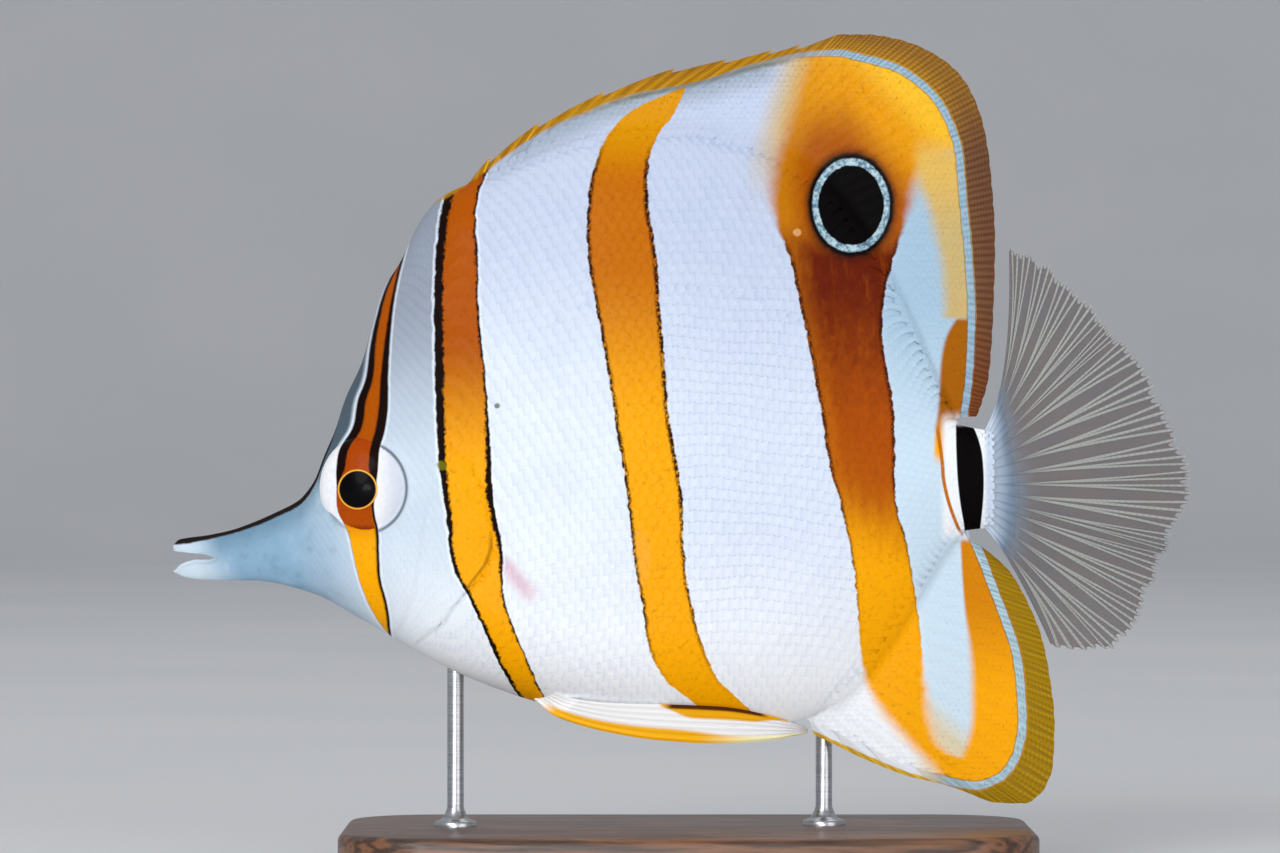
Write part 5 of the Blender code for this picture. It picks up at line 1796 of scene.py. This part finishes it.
@dataclass(frozen=True)
class CaudalFin:
    """Tail fin spread wide and turned away from the left side, with a thick scaled base and clear webs."""

    form: BodyForm
    rays: Rays = Rays(17, 0.09, 0.15, 0.22)
    rows: int = 64
    cells_per_ray: int = 24
    waves: tuple[Triple, ...] = ((4.0, 0.3, 0.011), (9.0, 1.9, 0.006), (14.0, 4.0, 0.004))
    root_x: float = 44.6
    slope: float = math.tan(math.radians(18.0))
    cup: float = 1.5
    flare: float = 4.7
    inset: float = 0.35
    blend: float = 0.34
    rim_half: float = 0.06
    ragged: float = 0.035
    seed: int = 11
    margin: Path = Path((
        (0.0, 48.6, 93.9), (0.08, 53.7, 91.5), (0.16, 58.8, 87.3), (0.25, 64.2, 81.9), (0.36, 70.5, 74.7),
        (0.46, 74.4, 66.0), (0.5588, 77.5, 58.0), (0.66, 75.0, 50.3), (0.77, 71.4, 42.3), (0.86, 68.5, 36.0),
        (0.93, 64.2, 32.0), (1.0, 55.6, 32.0),
    ))

    def place(self, across: Array, along: Array, side: Array) -> Array:
        """Points of both faces of the fin."""
        end = np.full(len(across), self.form.end)
        low, high = self.form.belly.at(end) + self.inset, self.form.back.at(end) - self.inset
        root = joined(np.full(len(across), self.root_x), high - (high - low) * across)
        shift = sum(size * np.sin(turns * math.pi * across + start) for turns, start, size in self.waves)
        tip = self.margin.at(np.clip(across + shift * np.sin(math.pi * across), 0.0, 1.0))
        draw = np.random.default_rng(self.seed).random(4 * self.rays.count + 1)
        spot = across * 4 * self.rays.count
        short = np.interp(spot, np.arange(len(draw)), draw)
        web = 1.0 - self.rays.ridge(across, np.ones(len(across))) / self.rays.rise
        along = along * (1.0 - self.ragged * (short * 0.7 + web * 0.6))
        bend = root + joined(np.full(len(across), self.flare), (tip - root)[:, 1] * 0.25)
        step = along[:, None]
        point = root * (1 - step) ** 2 + bend * (2 * step * (1 - step)) + tip * step**2
        thick = np.maximum(0.0, 1.0 - along / self.blend) ** 2
        half = self.rim_half + 0.2 * (1.0 - along)
        half += (self.form.half_width(end - 0.1, root[:, 1]) - self.form.inset - half) * thick
        half += self.rays.ridge(across, along) * (1.0 - thick)
        y = self.form.sway(end) + self.slope * (point[:, 0] - self.form.end)
        y += self.cup * (2 * across - 1) ** 2 * along
        return joined(point[:, 0], y + side * half, point[:, 1])

    def build(self, surface: Material) -> None:
        """Make the fin."""
        fin = sheet("tail_fin", self.rays.count * self.cells_per_ray, self.rows, self.place, surface)
        put(fin, Slot.CLEAR_FIN, "caudal_fin")


@dataclass(frozen=True)
class PectoralFin:
    """Clear fan behind the gill cover, standing a little off the flank."""

    form: BodyForm
    side: Side
    rays: Rays = Rays(13, 0.06, 0.22, 0.5)
    rows: int = 40
    cells_per_ray: int = 8
    root: tuple[Pair, Pair] = ((-26.3, 45.8), (-24.7, 39.8))
    splay: float = 6.0
    sink: float = 0.9
    rim_half: float = 0.07
    margin: Path = Path((
        (0.0, -7.0, 51.0), (0.25, -5.4, 47.4), (0.5, -6.4, 43.2), (0.75, -10.0, 39.4), (1.0, -16.0, 37.0),
    ))

    def place(self, across: Array, along: Array, side: Array) -> Array:
        """Points of both faces of the fin."""
        first, last = np.array(self.root)
        root = first + (last - first) * across[:, None]
        point = root + (self.margin.at(across) - root) * along[:, None]
        flank = self.form.half_width(root[:, 0], root[:, 1]) - self.form.inset
        y = flank - self.sink + (self.splay + self.sink) * along**0.8
        half = self.rim_half + 0.5 * np.maximum(0.0, 1.0 - along / 0.3) + self.rays.ridge(across, along)
        return joined(point[:, 0], self.side.value * (y + side * half), point[:, 1])

    def build(self, surface: Material) -> None:
        """Make the fin."""
        name = f"pectoral_fan_{self.side.word}"
        fin = sheet(name, self.rays.count * self.cells_per_ray, self.rows, self.place, surface)
        put(fin, Slot.CLEAR_FIN, f"pectoral_fin_{self.side.word}")


@dataclass(frozen=True)
class PelvicFin:
    """Folded white blade along the belly, with a strong yellow leading edge."""

    form: BodyForm
    side: Side
    rays: Rays = Rays(6, 0.025, 0.3, 1.5)
    columns: int = 48
    rows: int = 110
    standoff: float = 0.62
    sink: float = 0.8
    lean: float = 1.6
    root_lean: float = 1.3
    rim_half: float = 0.12
    lower: Path = Path((
        (0.0, -23.2, 25.2), (0.1, -20.2, 22.9), (0.28, -12.2, 20.4), (0.48, -4.0, 19.1), (0.7, 5.0, 18.6),
        (0.88, 13.0, 19.1), (1.0, 18.0, 20.0),
    ))
    upper: Path = Path((
        (0.0, -20.6, 26.6), (0.1, -17.0, 25.4), (0.28, -11.0, 24.8), (0.48, -3.4, 24.6), (0.7, 5.0, 24.2),
        (0.88, 12.4, 22.8), (1.0, 18.1, 20.8),
    ))

    def place(self, across: Array, along: Array, side: Array) -> Array:
        """Points of both faces of the blade."""
        upper = self.upper.at(along)
        point = self.lower.at(along) * (1.0 - across)[:, None] + upper * across[:, None]
        root = np.maximum(0.0, 1.0 - along / 0.12)
        y = self.form.half_width(*upper.T) + self.standoff - (self.standoff + self.sink) * root
        y -= (self.lean + self.root_lean * root) * (1.0 - across)
        lead = 0.26 * hump(across - 0.06, 0.09) * (1.0 - 0.6 * along)
        ridge = self.rays.ridge(across, np.full(len(across), 0.2)) * np.minimum(1.0, 4 * (1.0 - along))
        half = self.rim_half + 0.3 * np.maximum(0.0, 1.0 - along / 0.3) + ridge + lead
        return joined(point[:, 0], self.side.value * (y + side * half), point[:, 1])

    def build(self, surface: Material) -> None:
        """Make the blade."""
        fin = sheet(f"pelvic_blade_{self.side.word}", self.columns, self.rows, self.place, surface)
        put(fin, Slot.BANDED_FIN, f"pelvic_fin_{self.side.word}")


@dataclass(frozen=True)
class Eye:
    """Flattened eyeball with a bulging front."""

    side: Side
    pupil: Triple
    centre: Triple = (-48.3, 5.2, 57.0)
    size: Triple = (7.15, 3.65, 7.85)
    turn: float = math.radians(14.0)
    segments: tuple[int, int] = (96, 64)
    bulge: float = 0.42
    bulge_reach: float = 1.6

    def build(self, surface: Material) -> None:
        """Make the eyeball."""
        form = bmesh.new()
        bmesh.ops.create_uvsphere(form, u_segments=self.segments[0], v_segments=self.segments[1], radius=1.0)
        x, y, z = self.centre
        placed = Matrix.Translation(Vector((x, self.side.value * y, z)) * MM)
        placed = placed @ Matrix.Rotation(self.side.value * self.turn, 4, "Z")
        placed = placed @ Matrix.Diagonal((*(Vector(self.size) * MM), 1.0))
        placed = placed @ Matrix.Rotation(math.radians(90.0), 4, "X")
        bmesh.ops.transform(form, matrix=placed, verts=form.verts)
        pupil_x, pupil_z, radius = self.pupil
        for vert in form.verts:
            off = math.hypot(vert.co.x / MM - pupil_x, vert.co.z / MM - pupil_z) / (radius * self.bulge_reach)
            if off < 1.0 and vert.co.y * self.side.value > 0.0:
                vert.co.y += self.side.value * self.bulge * (1.0 - off * off) ** 2 * MM
        put(finish_mesh(f"eyeball_{self.side.word}", form, surface), Slot.EYE, f"eye_{self.side.word}")


@dataclass(frozen=True)
class Stand:
    """Plain wooden base with two turned steel rods."""

    base: Triple = (104.0, 60.0, 6.0)
    corner: float = 14.0
    corner_steps: int = 16
    bevel: float = 1.2
    foot_bevel: float = 0.4
    bevel_steps: int = 5
    rod_radius: float = 1.25
    collar: Knots = (
        (3.2, 0.0), (3.2, 0.55), (3.05, 0.75), (2.5, 0.95), (2.05, 1.15), (1.75, 1.6), (1.5, 2.1),
        (1.25, 2.8),
    )
    rods: tuple[tuple[str, float, float, float], ...] = (
        ("front", -35.0, 0.0, 31.0), ("rear", 20.6, 3.1, 27.5),
    )
    turn_steps: int = 48

    @staticmethod
    def soften(form: Form, edges: list[bmesh.types.BMEdge], size: float, steps: int) -> None:
        """Round some edges by a size in millimetres."""
        bmesh.ops.bevel(
            form, geom=edges, offset=size * MM, segments=steps, profile=0.5, affect="EDGES", material=-1
        )

    def build_base(self, wood: Material) -> None:
        """Make the base plate with round corners and a soft upper edge."""
        length, width, height = (size * MM for size in self.base)
        form = bmesh.new()
        bmesh.ops.create_cube(form, size=1.0)
        bmesh.ops.scale(form, vec=(length, width, height), verts=form.verts)
        bmesh.ops.translate(form, vec=(0.0, 0.0, height / 2), verts=form.verts)
        uprights = [edge for edge in form.edges if abs(edge.verts[0].co.z - edge.verts[1].co.z) > height / 2]
        self.soften(form, uprights, self.corner, self.corner_steps)
        for level, size in ((height, self.bevel), (0.0, self.foot_bevel)):
            near = {vert for vert in form.verts if abs(vert.co.z - level) < height / 10}
            rim = [edge for edge in form.edges if near.issuperset(edge.verts)]
            self.soften(form, rim, size, self.bevel_steps)
        put(finish_mesh("display_base", form, wood), Slot.WOOD, "stand_base")

    def build_rods(self, steel: Material) -> None:
        """Turn the two rods, which stand on the base and reach into the belly."""
        for word, x, y, top in self.rods:
            foot = self.base[2]
            profile = [(0.0, foot), *((radius, foot + up) for radius, up in self.collar)]
            profile += [(self.rod_radius, top), (0.0, top)]
            form = lathe([(radius * MM, z * MM) for radius, z in profile], self.turn_steps, 0.001 * MM)
            bmesh.ops.translate(form, vec=Vector((x, y, 0.0)) * MM, verts=form.verts)
            put(finish_mesh(f"rod_{word}", form, steel), Slot.ROD, f"stand_rod_{word}")


@dataclass(frozen=True)
class Studio:
    """Pale round floor that sweeps up into a wall, soft lights, and the camera at the photo's framing."""

    flat_radius: float = 2.2
    sweep: float = 0.8
    wall: float = 1.4
    steps: int = 12
    turn_steps: int = 96
    aim: Triple = (-7.2, 0.0, 66.2)
    view_width: float = 192.0
    lens: float = 180.0
    sensor: float = 36.0
    world: Colour = srgb(236, 240, 246)
    world_strength: float = 0.46
    near_plane: float = 4.5
    lamps: tuple[tuple[str, Triple, float, float], ...] = (
        ("key_light", (-0.6, -1.25, 0.75), 0.8, 8.2),
        ("fill_light", (0.9, -1.15, 0.3), 1.0, 4.0),
        ("low_light", (-0.2, -1.15, 0.06), 0.4, 5.0),
        ("top_light", (0.1, 0.6, 1.5), 1.2, 3.6),
    )

    def build_floor(self, surface: Material) -> None:
        """Make the floor."""
        profile = [(0.0, 0.0), (self.flat_radius, 0.0)]
        for step in range(1, self.steps + 1):
            turn = math.pi / 2 * step / self.steps
            out, up = self.sweep * math.sin(turn), self.sweep * (1.0 - math.cos(turn))
            profile.append((self.flat_radius + out, up))
        profile.append((self.flat_radius + self.sweep, self.wall))
        floor = finish_mesh("floor", lathe(profile, self.turn_steps, MM), surface)
        if floor.data.polygons[0].normal.z < 0.0:
            floor.data.flip_normals()

    def light(self, name: str, place: Triple, size: float, power: float) -> None:
        """Add one large soft lamp that faces the fish."""
        data = bpy.data.lights.new(name, "AREA")
        data.shape, data.size, data.energy = "DISK", size, power
        lamp = bpy.data.objects.new(name, data)
        lamp.location = place
        target = Vector(self.aim) * MM
        lamp.rotation_euler = (target - Vector(place)).to_track_quat("-Z", "Y").to_euler()
        bpy.context.scene.collection.objects.link(lamp)

    def build_lights(self) -> None:
        """Add the lamps and the pale surroundings."""
        for lamp in self.lamps:
            self.light(*lamp)
        world = bpy.data.worlds.new("pale_surroundings")
        world.use_nodes = True
        shade = world.node_tree.nodes["Background"]
        shade.inputs["Color"].default_value = self.world
        shade.inputs["Strength"].default_value = self.world_strength
        bpy.context.scene.world = world

    def build_camera(self) -> None:
        """Add the camera, level and square to the fish's left side."""
        data = bpy.data.cameras.new("camera")
        data.lens, data.sensor_width = self.lens, self.sensor
        distance = self.view_width * self.lens / self.sensor
        data.clip_start, data.clip_end = distance * 0.05 * MM, 20.0
        camera = bpy.data.objects.new("camera", data)
        camera.location = Vector((self.aim[0], -distance - self.near_plane, self.aim[2])) * MM
        camera.rotation_euler = (math.radians(90.0), 0.0, 0.0)
        bpy.context.scene.collection.objects.link(camera)
        bpy.context.scene.camera = camera
        bpy.context.scene.view_settings.view_transform = "Standard"


BLUE_LINES = {
    "dorsal": (
        (-38.0, 99.0), (-34.0, 102.6), (-30.2, 105.2), (-26.9, 107.0), (-23.3, 109.6), (-19.2, 112.3),
        (-13.2, 115.0), (-9.2, 116.0), (-3.2, 116.9), (2.7, 118.1), (6.3, 119.4), (12.0, 121.2),
        (18.0, 122.3), (22.5, 122.5), (26.4, 121.7), (30.5, 120.6), (34.2, 118.6), (38.0, 114.8),
        (40.8, 107.9), (41.6, 99.4), (42.4, 91.2), (42.8, 82.8), (42.5, 74.5), (41.7, 67.8), (41.3, 64.0),
    ),
    "anal": (
        (41.5, 52.0), (43.0, 49.5), (46.2, 41.6), (48.3, 36.0), (49.6, 31.8), (50.3, 26.5), (50.5, 21.1),
        (49.8, 17.2), (47.9, 13.9), (45.8, 12.6), (43.6, 12.0), (40.2, 12.5), (37.2, 13.4), (33.2, 14.6),
        (27.4, 17.0), (20.0, 20.4), (16.0, 22.4),
    ),
}


def smooth_line(points: Knots, steps: int) -> Array:
    """Many short steps of the smooth line through side-view points.

    Args:
        points: Points (x, z) in order, with the outside on their left.
        steps: How many steps.

    Returns:
        The line's points, one row for each.
    """
    array = np.array(points)
    lengths = np.concatenate(([0.0], np.cumsum(np.hypot(*np.diff(array, axis=0).T))))
    path = Path(tuple((share, x, z) for share, (x, z) in zip(lengths / lengths[-1], array)))
    return path.at(np.linspace(0.0, 1.0, steps))


def median_fins(form: BodyForm, blue: dict[str, Array]) -> tuple[MedianFin, MedianFin]:
    """Sizes of the soft dorsal fin and the anal fin.

    Args:
        form: The fish's body.
        blue: Middle of each fin's blue line.

    Returns:
        The dorsal fin and the anal fin.
    """
    dorsal = MedianFin(
        "dorsal_sail", "dorsal_fin_soft", form, form.back, Curve(((0.0, 7.5), (1.0, 39.9))),
        Path((
            (0.0, 22.6, 125.3), (0.08, 27.0, 125.3), (0.16, 32.0, 124.5), (0.24, 37.5, 122.2),
            (0.33, 41.9, 118.2), (0.43, 44.7, 111.4), (0.52, 45.8, 104.0), (0.64, 46.4, 94.0),
            (0.76, 46.1, 82.8), (0.87, 45.4, 73.6), (0.94, 44.4, 69.8), (1.0, 43.6, 67.7),
        )),
        Rays(28), blue["dorsal"], form.back_edge,
    )
    anal = MedianFin(
        "anal_sail", "anal_fin", form, form.belly,
        Curve((
            (0.0, 18.2), (0.045, 19.2), (0.09, 20.4), (0.136, 21.9), (0.3, 25.6), (0.5, 30.6), (0.7, 35.4),
            (0.85, 38.9), (1.0, 40.7),
        )),
        Path((
            (0.0, 19.0, 19.8), (0.045, 26.6, 16.1), (0.09, 32.6, 13.7), (0.136, 39.6, 11.9), (0.2, 46.8, 9.4),
            (0.26, 50.7, 9.3), (0.32, 53.7, 11.3), (0.38, 55.2, 15.5), (0.46, 55.4, 21.5), (0.56, 54.7, 28.2),
            (0.66, 53.5, 34.2), (0.76, 51.4, 39.5), (0.86, 48.6, 44.3), (0.94, 46.0, 46.8), (1.0, 44.2, 48.2),
        )),
        Rays(22, start=0.0), blue["anal"], form.belly_edge, cells_per_ray=10,
    )
    return dorsal, anal


def build_fish(palette: Palette, colours: Markings) -> None:
    """Make the fish, piece by piece.

    Args:
        palette: The shared node groups.
        colours: The fish's colours.
    """
    form = BodyForm()
    skin = Skin(form)
    skin.build(SkinFinish("fish_skin").build(palette), MouthFinish().build())
    blue = {word: smooth_line(points, 120) for word, points in BLUE_LINES.items()}
    spiny, (dorsal, anal) = SpinyDorsal(form, blue["dorsal"]), median_fins(form, blue)
    membrane = FinFinish("yellow_membrane", 9.0, 0.0, 2.0, 0.16).build(palette)
    bone = FinFinish(
        "spine_bone", 1.0, 0.0, 2.0, 0.0, banded=False, colour=srgb(228, 168, 24),
        cloud_colour=srgb(200, 138, 14), ray_colour=srgb(228, 168, 24), solid_until=-0.5,
    ).build(palette)
    spiny.build(membrane, bone)
    dorsal.build(FinFinish("dorsal_skin", 28.0).build(palette))
    anal.build(FinFinish("anal_skin", 22.0, 0.0).build(palette))
    coat = ScaleCoat(skin, FinMap(form, (spiny, dorsal, anal)), blue)
    fin_scales = SkinFinish("scaled_fin_skin", scaled=True, on_fin=True, contrast=0.35).build(palette)
    finishes = {
        "head": SkinFinish("scaled_head_skin", scaled=True, contrast=0.4).build(palette),
        "trunk": SkinFinish("scaled_skin", scaled=True, contrast=0.72).build(palette),
        "dorsal": fin_scales,
        "anal": fin_scales,
    }
    eye_finish = EyeFinish(colours).build(palette)
    clear = FinFinish(
        "clear_web", 13.0, width=0.1, banded=False, membrane_alpha=0.003, ray_alpha=0.03, solid_until=-0.2,
        base_colour=srgb(242, 206, 220), root_colour=srgb(242, 206, 220),
    ).build(palette)
    pelvic = PelvicFinish().build(palette)
    for side in Side:
        coat.build(side, finishes)
        Eye(side, colours.pupil).build(eye_finish)
        PectoralFin(form, side).build(clear)
        PelvicFin(form, side).build(pelvic)
    tail = FinFinish(
        "tail_web", 17.0, fork=0.22, width=0.1, banded=False, membrane_alpha=0.5, ray_alpha=0.75,
        solid_until=0.25, colour=srgb(104, 98, 100), cloud_colour=srgb(128, 106, 96),
        ray_colour=srgb(180, 182, 176), base_colour=srgb(130, 149, 171), root_colour=srgb(206, 219, 235),
    ).build(palette)
    CaudalFin(form).build(tail)


def build_display() -> None:
    """Make the stand and the studio around it."""
    stand = Stand()
    stand.build_base(WoodFinish().build())
    stand.build_rods(SteelFinish().build())
    studio = Studio()
    studio.build_floor(StageFinish().build())
    studio.build_lights()
    studio.build_camera()


def main() -> None:
    """Make the scene."""
    logging.basicConfig(level=logging.INFO, format="%(message)s")
    colours = Markings()
    palette = Palette(colours.build(), rim_group(colours), ray_group(), grain_group())
    build_fish(palette, colours)
    build_display()


if __name__ == "__main__":
    main()
